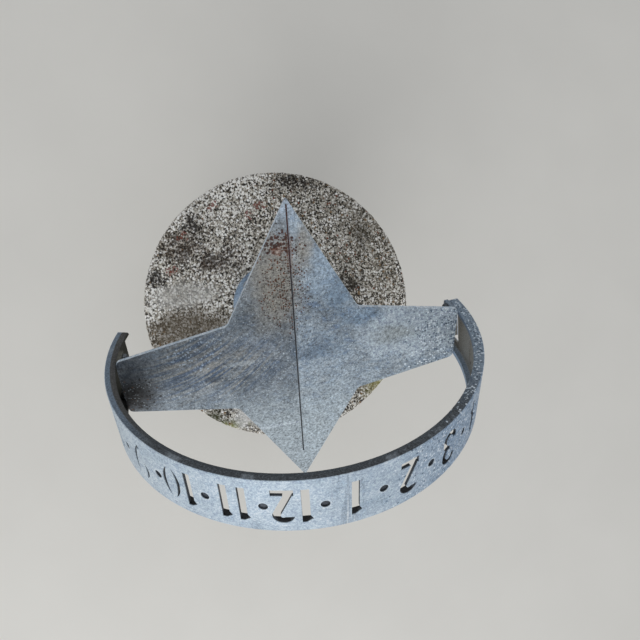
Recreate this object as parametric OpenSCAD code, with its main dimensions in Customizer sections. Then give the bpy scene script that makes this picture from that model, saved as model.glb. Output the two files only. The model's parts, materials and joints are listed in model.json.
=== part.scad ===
// Pedestal sundial: a half hour ring with cut-through numerals round a pointed star plate,
// carried on a tilting strut and a swivel foot on a cast stone pedestal.
// Millimetres, +Z up, origin at the centre of the pedestal's foot on the ground.
// +X is the afternoon side of the ring, +Y is the side that the star's upper point leans to.

/* [Hour ring] */
// Outer diameter of the hour ring
ring_d = 310; // [290:2:330]
// Width of the band, along the ring's axis
band_w = 50; // [46:1:60]
// Depth of the band's two rims
band_t = 8; // [7:0.5:9]
// Thickness of the web between the rims, in which the numerals are cut
web_t = 2.5; // [2:0.1:4]
// Height of each rim
rim_h = 5; // [4.5:0.1:5.5]
// Radius of the coves between the web and the rims
rim_cove_r = 2.5; // [1:0.1:3]
// Radius of the bosses that carry the ring's screws between the rims
boss_r = 4.8; // [4.6:0.1:5]
// Rounding of the band's long edges
band_arris = 0.8; // [0.4:0.1:1.2]
// Width of the slope along the inner half of the upper rim
rim_slope_w = 3.6; // [2:0.1:4]
// Drop of that slope
rim_slope_h = 2; // [1:0.1:3]
// Rounding of the four corners at the band's two ends
end_corner_r = 6; // [3:0.5:8]
// First hour cut in the band, counted from midnight
first_hour = 6; // [5:1:9]
// Last hour cut in the band, counted from midnight
last_hour = 19; // [15:1:19]
// Clock minutes by which the sun's noon comes after 12 at the place
noon_delay_min = 46; // [30:1:48]
// Angle of the band's morning end before the 12 mark
morning_end = 97; // [95:1:110]
// Angle of the band's evening end after the 12 mark
evening_end = 109; // [109:1:120]
// Diameter of the half-hour dimples
half_hour_d = 6.5; // [4:0.5:9]
// Depth of the half-hour dimples
half_hour_depth = 1.5; // [0.5:0.1:1.8]

/* [Numerals] */
// Height of the numerals
numeral_h = 32.5; // [28:0.5:33]
// Width of the numerals, but for the narrow 1
numeral_w = 15; // [14:0.1:16]
// Width of the straight strokes
stroke = 5.6; // [5:0.1:6]
// Width of the strokes of 3, 5 and 8
bowl_stroke = 4.4; // [3.5:0.1:4.8]
// Width of the crescent strokes of 0, 6 and 9 at their middles
curve_stroke = 3; // [2:0.1:3.6]
// Bulge of those crescent strokes
curve_reach = 5.6; // [5:0.1:6]
// Lean of the long stroke of 9
nine_lean = 10; // [6:1:12]
// Reach of the flag of a 1 past its bar
flag_w = 2; // [1:0.1:2.5]
// Drop of the flag's point below the top of the 1
flag_drop = 3.3; // [2:0.1:4]
// Distance between the middles of a 1 and a wider numeral beside it
pair_pitch = 15; // [14.4:0.1:15.6]
// Distance between the middles of the two bars of 11
ones_pitch = 12.6; // [11:0.1:14]
// Width of the stencil bridges that hold the islands of 4 and 8
bridge_w = 2.6; // [1.8:0.1:3]

/* [Star plate] */
// Thickness of the star plate
plate_t = 3; // [2:0.5:5]
// Reach of the two long points from the middle
point_reach = 148; // [120:1:150]
// Half width of the body where the points and arms meet
waist_x = 55; // [50:1:65]
// Half height of the body where the points and arms meet
waist_y = 44.5; // [42:0.5:55]
// Half height of an arm at its end
arm_end_y = 26.4; // [25:0.2:32]
// Rounding of the inner corners between points and arms
waist_r = 6; // [3:0.5:10]
// Rounding of the arms' outer corners
arm_corner_r = 5; // [2:0.5:8]
// Rounding of the two long points
point_r = 1.2; // [0.5:0.1:2]
// Width of the meridian groove
groove_w = 1.3; // [0.6:0.1:2]
// Depth of the meridian groove
groove_depth = 1; // [0.4:0.1:1.4]
// End of the meridian groove, up the plate from the middle
groove_up = 143; // [60:1:145]
// End of the meridian groove, down the plate from the middle
groove_down = 113; // [60:1:125]

/* [Setting] */
// Latitude that the dial is set to
latitude = 34; // [20:1:50]
// Distance of the dial's foot from the middle of the cap, towards the morning side
dial_shift = 8.3; // [0:0.1:12]
// Height of the tilt pivot above the pedestal
pivot_h = 68; // [66:1:80]
// Distance from the tilt pivot to the middle plane of the star plate
strut_len = 95; // [85:1:110]

/* [Pedestal] */
// Height of the plinth
plinth_h = 60; // [40:1:90]
// Diameter of the plinth
plinth_d = 300; // [250:2:330]
// Height of the shaft
shaft_h = 252; // [160:2:600]
// Diameter of the shaft above its foot moulding
shaft_foot_d = 188; // [150:2:200]
// Diameter of the shaft below its neck moulding
shaft_neck_d = 160; // [140:2:180]
// Diameter of the foot moulding
foot_mould_d = 232; // [220:2:248]
// Height of the foot moulding
foot_mould_h = 18; // [10:1:30]
// Diameter of the neck moulding
neck_mould_d = 196; // [190:2:220]
// Height of the neck moulding
neck_mould_h = 12; // [8:1:24]
// Diameter of the cap
cap_d = 298; // [270:2:320]
// Height of the cap
cap_h = 47; // [42:1:70]
// Height of the narrower mould under the cap's slab
bed_mould_h = 16; // [8:1:20]
// Diameter of that mould
bed_mould_d = 248; // [220:2:256]
// Thickness of the mortar beds
mortar_t = 3; // [2:0.5:6]
// Depth by which the mortar is raked back from the stone's edge
mortar_rake = 3; // [1:0.5:6]
// Rounding of the stone's outer edges
stone_arris = 4; // [2:0.5:6]
// Radius of the coves between mouldings and shaft
cove_r = 12; // [6:1:16]
// Diameter of the steel dowels
dowel_d = 12; // [8:1:16]
// Depth of a dowel in each stone
dowel_depth = 32; // [20:1:34]

/* [Swivel foot] */
// Diameter of the foot flange
flange_d = 88; // [84:1:110]
// Thickness of the foot flange
flange_t = 8; // [6:0.5:12]
// Chamfer round the flange's upper edge
flange_chamfer = 2; // [1:0.5:3]
// Diameter of the hub
hub_d = 36; // [34:1:40]
// Height of the hub above the flange
hub_h = 18; // [16:1:20]
// Diameter of the swivel spigot
spigot_d = 20; // [16:0.5:22]
// Circle that the anchor studs stand on
anchor_circle_d = 64; // [62:1:66]
// Diameter of the anchor studs
anchor_d = 8; // [6:1:8]
// Depth of the anchor studs in the cap
anchor_depth = 34; // [25:1:38]
// Diameter of the set screws that lock the swivel
set_screw_d = 6; // [4:1:6]
// Length of the set screws
set_screw_len = 10; // [9:1:14]
// Diameter of the thrust washer and of the stem's collar
collar_d = 36; // [32:1:40]
// Thickness of the thrust washer
thrust_t = 2; // [1.5:0.5:3]
// Thickness of the stem's collar
collar_t = 6; // [4:0.5:8]

/* [Tilt knuckle] */
// Thickness of the strut's eye between the fork's ears
eye_t = 16; // [12:1:20]
// Radius of the strut's eye
eye_r = 15; // [13:0.5:15.5]
// Thickness of one ear of the fork
ear_t = 8; // [6:0.5:10]
// Radius of the ears round the pivot
ear_r = 16; // [14:0.5:17]
// Thickness of the fork's base
fork_base_t = 10; // [8:0.5:12]
// Diameter of the stem's tenon in the fork
tenon_d = 16; // [12:0.5:18]
// Diameter of the pin across the tenon
cross_pin_d = 4; // [3:0.5:5]
// Thickness of a friction disc
disc_t = 2; // [1:0.5:3]
// Diameter of the friction discs
disc_d = 30; // [24:1:30]
// Diameter of the pivot bolt
pivot_d = 12; // [8:1:12]
// Diameter of the strut
strut_d = 24; // [16:1:26]
// Distance from the pivot at which the round strut begins
strut_start = 19; // [18.5:0.5:24]
// Diameter of the pad that carries the star plate
pad_d = 80; // [74:1:84]
// Thickness of that pad
pad_t = 8; // [6:0.5:10]
// Cove between the strut and its pad
pad_cove_r = 8; // [4:0.5:9]
// Circle that the pad's studs stand on
pad_circle_d = 56; // [54:1:60]
// Diameter of the pad's studs
pad_stud_d = 6; // [4:1:6]

/* [Ring cleats] */
// Length of a cleat along the arm
cleat_len = 38; // [30:1:50]
// Thickness of a cleat
cleat_t = 4; // [3:0.5:5]
// Width of a cleat's two tabs
tab_w = 8; // [7:0.5:8]
// Angle by which the tabs reach past the plate round the ring
tab_reach = 7.2; // [7:0.1:7.4]
// Angle of the ring's screws past the plate
screw_reach = 4.6; // [4.4:0.1:4.8]
// Distance of the ring's screws from the band's long edges
screw_margin = 4.8; // [4.7:0.1:4.9]
// Diameter of the ring's screws
ring_screw_d = 4; // [3:0.5:4]
// Distance of the cleat's studs from the ring's inner face
cleat_stud_in = 22; // [14:1:28]
// Distance between the two studs of a cleat
cleat_stud_gap = 24; // [16:1:34]
// Diameter of the cleat's studs
cleat_stud_d = 5; // [4:0.5:5]

/* [Clearances] */
// Radial clearance of the swivel and of the tilt pivot
running_gap = 0.05; // [0.02:0.01:0.1]
// Clearance between faces that slide on each other
face_gap = 0.05; // [0.02:0.01:0.1]
// Radial clearance of screws, studs and pins in plain holes
hole_gap = 0.2; // [0.1:0.05:0.3]
// Clearance between the hour ring and what fits inside it
ring_gap = 0.2; // [0.1:0.05:0.4]
// Clearance between a set screw's tip and the spigot
tip_gap = 0.2; // [0.1:0.05:0.3]

/* [Hidden] */
$fn = 96;
deg_per_hour = 15;
deg_per_minute = deg_per_hour / 60;
noon = 12;
// Sideways turn of the whole scale: the 12 stands before the plate's own middle line
scale_turn = -noon_delay_min * deg_per_minute;
ring_r = ring_d / 2;
ring_in = ring_r - band_t;
web_in = ring_r - web_t;
band_half = band_w / 2;
plate_half = plate_t / 2;
arm_end_x = sqrt(pow(ring_in, 2) - pow(plate_half, 2)) - ring_gap;
half_turn = 180;
right_angle = 90;
// How far cutters run past the faces that they cut
over = 1;
// Straight steps in a rounded corner of the star plate
arc_steps = 6;

cap_z = plinth_h + shaft_h + 2 * mortar_t;
top_z = cap_z + cap_h;
shaft_z = plinth_h + mortar_t;
pivot_z = top_z + pivot_h;

hub_top = flange_t + hub_h;
collar_z = hub_top + thrust_t + face_gap;
fork_z = collar_z + collar_t;
ear_in = eye_t / 2 + face_gap + disc_t;
ear_out = ear_in + ear_t;
under_plate = strut_len - plate_half;
pad_under = under_plate - pad_t;

// Nut and washer sizes follow the thread: across flats, height, washer diameter, washer thickness
function nut_af(d) = 1.5 * d + 1;
function nut_h(d) = 0.8 * d;
function bolt_head_h(d) = 0.65 * d;
function washer_d(d) = 2 * d;
function washer_t(d) = 0.16 * d;
// Thread left past a nut
function thread_past(d) = 0.3 * d;
stud_below_pad = washer_t(pad_stud_d) + nut_h(pad_stud_d) + thread_past(pad_stud_d);
stud_below_cleat = washer_t(cleat_stud_d) + nut_h(cleat_stud_d) + thread_past(cleat_stud_d);
anchor_top = flange_t + washer_t(anchor_d) + nut_h(anchor_d) + thread_past(anchor_d);
screw_head_r = 0.9 * ring_screw_d;
screw_head_h = screw_head_r - ring_screw_d / 2;
screw_sink = 0.1;
tab_in = ring_in - ring_gap - cleat_t;
// A flat nut sits this far off the tab's hollow face, so that its corners clear it
nut_seat_gap = 0.1;
screw_line = band_half - screw_margin;
set_screw_z = flange_t + washer_t(anchor_d) + nut_h(anchor_d) + set_screw_d / 2 + over;
half_hour_count = last_hour - first_hour;

// Helpers for outlines

function unit(v) = v / norm(v);

// The sliver between a corner and an arc of radius r that touches both of its sides
module corner_patch(corner, side_a, side_b, r) {
    a = unit(side_a - corner);
    b = unit(side_b - corner);
    half = acos(a * b) / 2;
    reach = r / tan(half);
    middle = corner + unit(a + b) * r / sin(half);
    difference() {
        polygon([corner - unit(a + b) * over, corner + a * reach, middle, corner + b * reach]);
        translate(middle) circle(r);
    }
}

// The points of an arc of radius r in place of a corner, in either sense of turn
function round_corner(before, corner, after, r) =
    let (
        a = unit(before - corner),
        b = unit(after - corner),
        half = acos(a * b) / 2,
        middle = corner + unit(a + b) * r / sin(half),
        from = corner + a * r / tan(half) - middle,
        to = corner + b * r / tan(half) - middle,
        turn = sign(cross(from, to)) * acos(from * to / (r * r))
    )
    [for (i = [0:arc_steps]) middle + turned(from, turn * i / arc_steps)];

function turned(v, angle) = [v[0] * cos(angle) - v[1] * sin(angle), v[0] * sin(angle) + v[1] * cos(angle)];

// An outline with every corner rounded; the radii repeat when there are fewer of them
function rounded_outline(points, radii) =
    let (n = len(points))
    [for (i = [0:n - 1]) each round_corner(
        points[(i + n - 1) % n], points[i], points[(i + 1) % n], radii[i % len(radii)])];

// A cove that fills the corner outside x between a ledge at y and the wall over it, or under it with up -1
module cove(x, y, r, up) {
    difference() {
        translate([x - over, min(y, y + up * r) - over * (1 + up) / 2]) square([r + over, r + over]);
        translate([x + r, y + up * r]) circle(r);
    }
}

// A rectangle from the axis out to x, with its outer corners rounded at the top or the bottom
module rounded_course(x, low, high, r_top, r_low) {
    difference() {
        translate([0, low]) square([x, high - low]);
        if (r_top > 0) corner_patch([x, high], [0, high], [x, low], r_top);
        if (r_low > 0) corner_patch([x, low], [0, low], [x, high], r_low);
    }
}

// A wedge from the origin, wide enough to cut a circle of radius r
module wedge(r, from, to) {
    steps = 6;
    turn = (to - from) / steps;
    polygon(concat([[0, 0]], [for (i = [0:steps]) 2 * r * [cos(from + i * turn), sin(from + i * turn)]]));
}

// A closed oval band with straight sides
module stadium(w, h) {
    translate([0, (h - w) / 2]) circle(w / 2);
    translate([0, (w - h) / 2]) circle(w / 2);
    square([w, h - w], center = true);
}

module loop(w, h, s) {
    difference() {
        stadium(w, h);
        stadium(w - 2 * s, h - 2 * s);
    }
}

// A straight stroke between two points
module bar(p, q, s) {
    along = unit(q - p);
    across = [-along[1], along[0]] * s / 2;
    polygon([p + across, p - across, q - across, q + across]);
}

// Numerals, each centred on the origin and numeral_h high.
// Their crescents and bridges keep their islands in the band.

numeral_top = numeral_h / 2;
bend_y = numeral_top - numeral_w / 2;
bowl_h = (numeral_h + bowl_stroke) / 2;
bowl_y = numeral_top - bowl_h / 2;

// Radius of an arc that rises so far above its chord
function arc_radius(chord, rise) = (pow(chord / 2, 2) + pow(rise, 2)) / (2 * rise);

// A crescent to the right of the y axis, with its two points on the axis
module crescent(h, reach, thick) {
    outer_r = arc_radius(h, reach);
    inner_r = arc_radius(h, reach - thick);
    difference() {
        translate([reach - outer_r, 0]) circle(outer_r);
        translate([reach - thick - inner_r, 0]) circle(inner_r);
    }
}

module bridge(low, high) {
    translate([-bridge_w / 2, low]) square([bridge_w, high - low]);
}

module numeral_0() {
    for (side = [0, 1]) mirror([side, 0])
        translate([numeral_w / 2 - curve_reach, 0]) crescent(numeral_h - curve_stroke, curve_reach, curve_stroke);
}

module numeral_1() {
    bar_x = stroke / 2;
    polygon([
        [-bar_x, -numeral_top],
        [bar_x, -numeral_top],
        [bar_x, numeral_top],
        [0, numeral_top],
        [-bar_x - flag_w, numeral_top - flag_drop],
        [-bar_x, numeral_top - 2 * flag_drop]
    ]);
}

// The bend of 2 ends at this angle and runs straight down to the foot from there
bend_end = -30;

module numeral_2() {
    mid_r = (numeral_w - stroke) / 2;
    from = [mid_r * cos(bend_end), bend_y + mid_r * sin(bend_end)];
    foot = [(stroke - numeral_w) / 2, stroke / 2 - numeral_top];
    translate([0, bend_y]) difference() {
        intersection() {
            circle(numeral_w / 2);
            union() {
                wedge(numeral_w, bend_end, right_angle + over);
                translate([-numeral_w / 2, stroke / 4]) square(numeral_w / 2);
            }
        }
        circle(numeral_w / 2 - stroke);
    }
    bar(from, foot, stroke);
    translate(from) circle(stroke / 2);
    translate([-numeral_w / 2, -numeral_top]) square([numeral_w, stroke]);
}

module numeral_3() {
    open_h = numeral_h - numeral_w - bowl_stroke / 2;
    difference() {
        union() {
            translate([0, bowl_y]) loop(numeral_w, bowl_h, bowl_stroke);
            translate([0, -bowl_y]) loop(numeral_w, bowl_h, bowl_stroke);
        }
        translate([-numeral_w, -open_h / 2]) square([numeral_w, open_h]);
    }
    translate([-bridge_w / 2, -bowl_stroke / 2]) square([numeral_w / 3, bowl_stroke]);
}

module numeral_4() {
    upright_x = numeral_w / 2 - stroke;
    bar_y = -numeral_h / 5;
    difference() {
        union() {
            translate([upright_x, 0]) square([stroke, numeral_h], center = true);
            bar([upright_x, numeral_top - stroke / 2], [(stroke - numeral_w) / 2, bar_y], stroke);
            translate([-numeral_w / 2, bar_y - stroke / 2]) square([numeral_w, stroke]);
        }
        translate([upright_x - stroke / 2 - bridge_w, bar_y - stroke]) square([bridge_w, 2 * stroke]);
    }
}

module numeral_5() {
    difference() {
        translate([0, -bowl_y]) loop(numeral_w, bowl_h, bowl_stroke);
        translate([-numeral_w, -bend_y]) square([numeral_w, bowl_h - numeral_w]);
    }
    translate([-numeral_w / 2, 0]) square([bowl_stroke, numeral_top]);
    translate([-numeral_w / 2, -bowl_stroke / 2]) square([numeral_w / 2, bowl_stroke]);
    translate([-numeral_w / 2, numeral_top - bowl_stroke]) square([numeral_w, bowl_stroke]);
}

module numeral_7() {
    bar([(numeral_w - stroke) / 2, numeral_top - stroke / 2], [-stroke / 2, -numeral_top], stroke);
    translate([-numeral_w / 2, numeral_top - stroke]) square([numeral_w, stroke]);
}

module numeral_8() {
    difference() {
        union() {
            translate([0, bowl_y]) loop(numeral_w, bowl_h, bowl_stroke);
            translate([0, -bowl_y]) loop(numeral_w, bowl_h, bowl_stroke);
        }
        bridge(-numeral_h, numeral_h);
    }
}

// A long leaning crescent on the right that ends in a drop, and a crescent of half its height on the left
module numeral_9() {
    translate([numeral_w / 2 - curve_reach, 0]) rotate(-nine_lean) {
        crescent(numeral_h, curve_reach, curve_stroke);
        translate([0, curve_stroke - numeral_top]) circle(curve_stroke / 2);
    }
    translate([curve_reach - curve_stroke / 2 - numeral_w / 2, numeral_h / 4]) mirror([1, 0])
        crescent(numeral_top, curve_reach - curve_stroke / 2, curve_stroke);
}

module numeral(digit) {
    if (digit == 0) numeral_0();
    if (digit == 1) numeral_1();
    if (digit == 2) numeral_2();
    if (digit == 3) numeral_3();
    if (digit == 4) numeral_4();
    if (digit == 5) numeral_5();
    if (digit == 6) rotate(half_turn) numeral_9();
    if (digit == 7) numeral_7();
    if (digit == 8) numeral_8();
    if (digit == 9) numeral_9();
}

// The hour as read on a twelve-hour clock
function clock_hour(hour) = hour > noon ? hour - noon : hour;

module hour_mark(hour) {
    shown = clock_hour(hour);
    tens = floor(shown / 10);
    if (tens == 0) numeral(shown);
    units = shown % 10;
    pitch = units == 1 ? ones_pitch : pair_pitch;
    if (tens > 0) {
        translate([-pitch / 2, 0]) numeral(tens);
        translate([pitch / 2, 0]) numeral(units);
    }
}

// Places

// Angle round the ring of a clock hour, from the plate's middle line
function hour_angle(hour) = (hour - noon) * deg_per_hour + scale_turn;

// The upright axis that the dial swivels on, a little beside the middle of the cap
module on_foot(z) {
    translate([-dial_shift, 0, z]) children();
}

// The dial's own frame: z up from the tilt pivot through the plate, y up the plate
module on_dial() {
    on_foot(pivot_z) rotate([latitude, 0, 0]) children();
}

// The ring's frame: z along its axis, x from its middle out through the plate's middle line
module on_ring() {
    on_dial() translate([0, 0, strut_len]) rotate(240, [1, 1, 1]) children();
}

// Stands a flat shape in the band at an angle, facing out, with its top towards the lower rim
module through_band(angle, deep) {
    rotate([0, 0, angle]) rotate([-right_angle, 0, 0]) rotate([0, right_angle, 0])
        translate([0, 0, ring_in - deep]) linear_extrude(band_t + deep + over) children();
}

// A round thing pointing out through the band at an angle, a distance s up the ring's axis
module out_at(angle, s, from_r) {
    rotate([0, 0, angle]) translate([0, 0, s]) rotate([0, right_angle, 0]) translate([0, 0, from_r]) children();
}

module four_on(circle_d) {
    for (i = [0:3]) rotate([0, 0, (i + 0.5) * right_angle]) translate([circle_d / 2, 0, 0]) children();
}

// Places of the two studs of each cleat, on the plate
module cleat_places() {
    for (side = [-1, 1], up = [-1, 1])
        translate([side * (ring_in - cleat_stud_in), up * cleat_stud_gap / 2, 0]) children();
}

// Places of the two screws at each end of the ring
module screw_places(from_r) {
    for (side = [-1, 1], up = [-1, 1])
        out_at(side * (right_angle + screw_reach), up * screw_line, from_r) children();
}

// Fasteners

module hex_nut(d, h) {
    difference() {
        cylinder(d = nut_af(d) / cos(30), h = h, $fn = 6);
        translate([0, 0, -over]) cylinder(d = d, h = h + 2 * over);
    }
}

module washer(d, outer, t) {
    difference() {
        cylinder(d = outer, h = t);
        translate([0, 0, -over]) cylinder(r = d / 2 + hole_gap, h = t + 2 * over);
    }
}

// Pedestal

module dowel_hole(z) {
    translate([0, 0, z - dowel_depth]) cylinder(r = dowel_d / 2 + hole_gap, h = 2 * dowel_depth + mortar_t);
}

module plinth() {
    color("lightgray") difference() {
        rotate_extrude() rounded_course(plinth_d / 2, 0, plinth_h, 2 * stone_arris, 0);
        dowel_hole(plinth_h);
    }
}

module mortar(d) {
    difference() {
        cylinder(d = d - 2 * mortar_rake, h = mortar_t);
        translate([0, 0, -over]) cylinder(r = dowel_d / 2 + hole_gap, h = mortar_t + 2 * over);
    }
}

module lower_bed() {
    color("darkgray") translate([0, 0, plinth_h]) mortar(foot_mould_d);
}

module upper_bed() {
    color("darkgray") translate([0, 0, cap_z - mortar_t]) mortar(neck_mould_d);
}

module shaft() {
    neck_z = shaft_h - neck_mould_h;
    foot_r = shaft_foot_d / 2;
    neck_r = shaft_neck_d / 2;
    taper = (foot_r - neck_r) / (neck_z - foot_mould_h);
    color("gainsboro") difference() {
        translate([0, 0, shaft_z]) rotate_extrude() {
            rounded_course(foot_mould_d / 2, 0, foot_mould_h, stone_arris, 0);
            polygon([[0, foot_mould_h], [foot_r, foot_mould_h], [neck_r, neck_z], [0, neck_z]]);
            cove(foot_r - taper * cove_r, foot_mould_h, cove_r, 1);
            cove(neck_r + taper * cove_r, neck_z, cove_r, -1);
            rounded_course(neck_mould_d / 2, neck_z, shaft_h, 0, stone_arris);
        }
        dowel_hole(plinth_h);
        dowel_hole(cap_z - mortar_t);
    }
}

module cap() {
    mould_r = bed_mould_d / 2;
    color("silver") difference() {
        translate([0, 0, cap_z]) rotate_extrude() {
            rounded_course(mould_r, 0, bed_mould_h, 0, stone_arris / 2);
            cove(mould_r, bed_mould_h, cove_r, -1);
            rounded_course(cap_d / 2, bed_mould_h, cap_h, stone_arris, stone_arris);
        }
        dowel_hole(cap_z - mortar_t);
        on_foot(top_z - anchor_depth) four_on(anchor_circle_d)
            cylinder(r = anchor_d / 2 + hole_gap, h = anchor_depth + over);
    }
}

module dowels() {
    color("gray") for (z = [plinth_h, cap_z - mortar_t])
        translate([0, 0, z - dowel_depth]) cylinder(d = dowel_d, h = 2 * dowel_depth + mortar_t);
}

// Swivel foot

module foot_flange() {
    color("lightsteelblue") on_foot(top_z) difference() {
        union() {
            rotate_extrude() difference() {
                square([flange_d / 2, flange_t]);
                translate([flange_d / 2, flange_t]) rotate(45) square(flange_chamfer * sqrt(2), center = true);
            }
            cylinder(d = hub_d, h = hub_top);
        }
        translate([0, 0, -over]) cylinder(r = spigot_d / 2 + running_gap, h = hub_top + 2 * over);
        translate([0, 0, -over]) four_on(anchor_circle_d)
            cylinder(r = anchor_d / 2 + hole_gap, h = flange_t + 2 * over);
        for (turn = [0, right_angle]) rotate([0, 0, turn]) translate([0, 0, set_screw_z])
            rotate([0, right_angle, 0]) cylinder(r = set_screw_d / 2 + running_gap, h = hub_d);
    }
}

module anchor_studs() {
    color("silver") on_foot(top_z - anchor_depth) four_on(anchor_circle_d)
        cylinder(d = anchor_d, h = anchor_depth + anchor_top);
}

module anchor_washers() {
    color("silver") on_foot(top_z + flange_t) four_on(anchor_circle_d)
        washer(anchor_d, washer_d(anchor_d), washer_t(anchor_d));
}

module anchor_nuts() {
    color("silver") on_foot(top_z + flange_t + washer_t(anchor_d)) four_on(anchor_circle_d)
        hex_nut(anchor_d, nut_h(anchor_d));
}

module set_screws() {
    color("dimgray") for (turn = [0, right_angle])
        on_foot(top_z + set_screw_z) rotate([0, 0, turn]) rotate([0, right_angle, 0])
            translate([0, 0, spigot_d / 2 + tip_gap]) difference() {
                cylinder(d = set_screw_d, h = set_screw_len);
                translate([0, 0, set_screw_len - set_screw_d / 2])
                    cylinder(d = set_screw_d / 2, h = set_screw_d, $fn = 6);
            }
}

module thrust_washer() {
    color("goldenrod") on_foot(top_z + hub_top) washer(spigot_d, collar_d, thrust_t);
}

module stem() {
    color("lightslategray") on_foot(top_z) difference() {
        union() {
            translate([0, 0, over]) cylinder(d = spigot_d, h = collar_z);
            translate([0, 0, collar_z]) cylinder(d = collar_d, h = collar_t);
            translate([0, 0, fork_z]) cylinder(d = tenon_d, h = fork_base_t - over);
        }
        cross_pin_hole();
    }
}

// Hole for the pin, at half the height of the fork's base, seen from the pedestal's top
module cross_pin_hole() {
    translate([-ear_out - over, 0, fork_z + fork_base_t / 2]) rotate([0, right_angle, 0])
        cylinder(r = cross_pin_d / 2 + running_gap, h = 2 * (ear_out + over));
}

module fork() {
    ear_drop = pivot_h - fork_z;
    color("lightsteelblue") on_foot(top_z) difference() {
        union() {
            translate([-ear_out, -ear_r, fork_z]) cube([2 * ear_out, 2 * ear_r, fork_base_t]);
            for (x = [-ear_out, ear_in]) translate([x, 0, pivot_h]) {
                rotate([0, right_angle, 0]) cylinder(r = ear_r, h = ear_t);
                translate([0, -ear_r, -ear_drop]) cube([ear_t, 2 * ear_r, ear_drop]);
            }
        }
        translate([0, 0, fork_z - over]) cylinder(r = tenon_d / 2 + running_gap, h = fork_base_t + 2 * over);
        translate([-ear_out - over, 0, pivot_h]) rotate([0, right_angle, 0])
            cylinder(r = pivot_d / 2 + hole_gap, h = 2 * (ear_out + over));
        cross_pin_hole();
    }
}

module cross_pin() {
    color("dimgray") on_foot(top_z + fork_z + fork_base_t / 2) translate([-ear_out, 0, 0])
        rotate([0, right_angle, 0]) cylinder(d = cross_pin_d, h = 2 * ear_out);
}

// Tilt knuckle

module along_pivot(x) {
    on_foot(pivot_z) rotate([0, right_angle, 0]) translate([0, 0, x]) children();
}

pivot_seat = ear_out + washer_t(pivot_d);

module pivot_bolt() {
    head_h = bolt_head_h(pivot_d);
    color("silver") {
        along_pivot(-pivot_seat) cylinder(d = pivot_d, h = 2 * pivot_seat + nut_h(pivot_d) + thread_past(pivot_d));
        along_pivot(-pivot_seat - head_h) cylinder(d = nut_af(pivot_d) / cos(30), h = head_h, $fn = 6);
    }
}

module pivot_washers() {
    color("silver") for (x = [-pivot_seat, ear_out])
        along_pivot(x) washer(pivot_d, washer_d(pivot_d), washer_t(pivot_d));
}

module pivot_nut() {
    color("silver") along_pivot(pivot_seat) hex_nut(pivot_d, nut_h(pivot_d));
}

module friction_discs() {
    color("saddlebrown") for (x = [-ear_in, ear_in - disc_t])
        along_pivot(x) washer(pivot_d, disc_d, disc_t);
}

module tilt_strut() {
    neck_r = strut_d / 2;
    color("lightsteelblue") on_dial() difference() {
        union() {
            translate([-eye_t / 2, 0, 0]) rotate([0, right_angle, 0]) cylinder(r = eye_r, h = eye_t);
            translate([-eye_t / 2, -neck_r, 0]) cube([eye_t, 2 * neck_r, strut_start + over]);
            translate([0, 0, strut_start]) cylinder(r = neck_r, h = pad_under - strut_start);
            rotate_extrude() {
                translate([0, pad_under]) square([pad_d / 2, pad_t]);
                cove(neck_r, pad_under, pad_cove_r, -1);
            }
        }
        translate([-eye_t, 0, 0]) rotate([0, right_angle, 0])
            cylinder(r = pivot_d / 2 + running_gap, h = 2 * eye_t);
        translate([0, 0, pad_under - over]) four_on(pad_circle_d)
            cylinder(r = pad_stud_d / 2 + hole_gap, h = pad_t + 2 * over);
    }
}

module pad_washers() {
    color("silver") on_dial() translate([0, 0, pad_under - washer_t(pad_stud_d)]) four_on(pad_circle_d)
        washer(pad_stud_d, washer_d(pad_stud_d), washer_t(pad_stud_d));
}

module pad_nuts() {
    color("silver") on_dial() translate([0, 0, pad_under - washer_t(pad_stud_d) - nut_h(pad_stud_d)])
        four_on(pad_circle_d) hex_nut(pad_stud_d, nut_h(pad_stud_d));
}

// Star plate and hour ring

function turned_down(p) = [p[0], -p[1]];

module star_outline() {
    arm = [arm_end_x, arm_end_y];
    waist = [waist_x, waist_y];
    point = [0, point_reach];
    corners = [
        point, waist, arm, turned_down(arm), turned_down(waist),
        -point, -waist, -arm, turned_down(-arm), turned_down(-waist)
    ];
    // Point, waist, arm, arm and waist come round twice
    radii = [point_r, waist_r, arm_corner_r, arm_corner_r, waist_r];
    polygon(rounded_outline(corners, radii));
}

module star_plate() {
    color("slategray") on_dial() difference() {
        translate([0, 0, under_plate]) linear_extrude(plate_t) star_outline();
        translate([-groove_w / 2, -groove_down, strut_len + plate_half - groove_depth])
            cube([groove_w, groove_up + groove_down, plate_t]);
    }
}

// Weld studs on the plate's underside, for the pad and for the two cleats
module plate_studs() {
    color("silver") on_dial() {
        translate([0, 0, pad_under - stud_below_pad]) four_on(pad_circle_d)
            cylinder(d = pad_stud_d, h = pad_t + stud_below_pad);
        translate([0, 0, under_plate - cleat_t - stud_below_cleat]) cleat_places()
            cylinder(d = cleat_stud_d, h = cleat_t + stud_below_cleat);
    }
}

// The band's section: rounded edges, and a slope along the inner half of the upper rim
module band_section() {
    corners = [[ring_in, -band_half], [ring_r, -band_half], [ring_r, band_half]];
    difference() {
        translate([ring_in, -band_half]) square([band_t, band_w]);
        corner_patch(corners[0], corners[1], [ring_in, 0], band_arris);
        corner_patch(corners[1], corners[0], corners[2], band_arris);
        corner_patch(corners[2], corners[1], [ring_in, band_half], band_arris);
        polygon([
            [ring_in - over, band_half + over],
            [ring_in - over, band_half - rim_slope_h],
            [ring_in, band_half - rim_slope_h],
            [ring_in + rim_slope_w, band_half],
            [ring_in + rim_slope_w, band_half + over]
        ]);
    }
}

// Section of the hollow between the rims, with coves against the web
module hollow_section() {
    half_h = band_half - rim_h;
    difference() {
        translate([ring_in - over, -half_h]) square([web_in - ring_in + over, 2 * half_h]);
        for (up = [-1, 1])
            corner_patch([web_in, up * half_h], [ring_in, up * half_h], [web_in, 0], rim_cove_r);
    }
}

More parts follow.
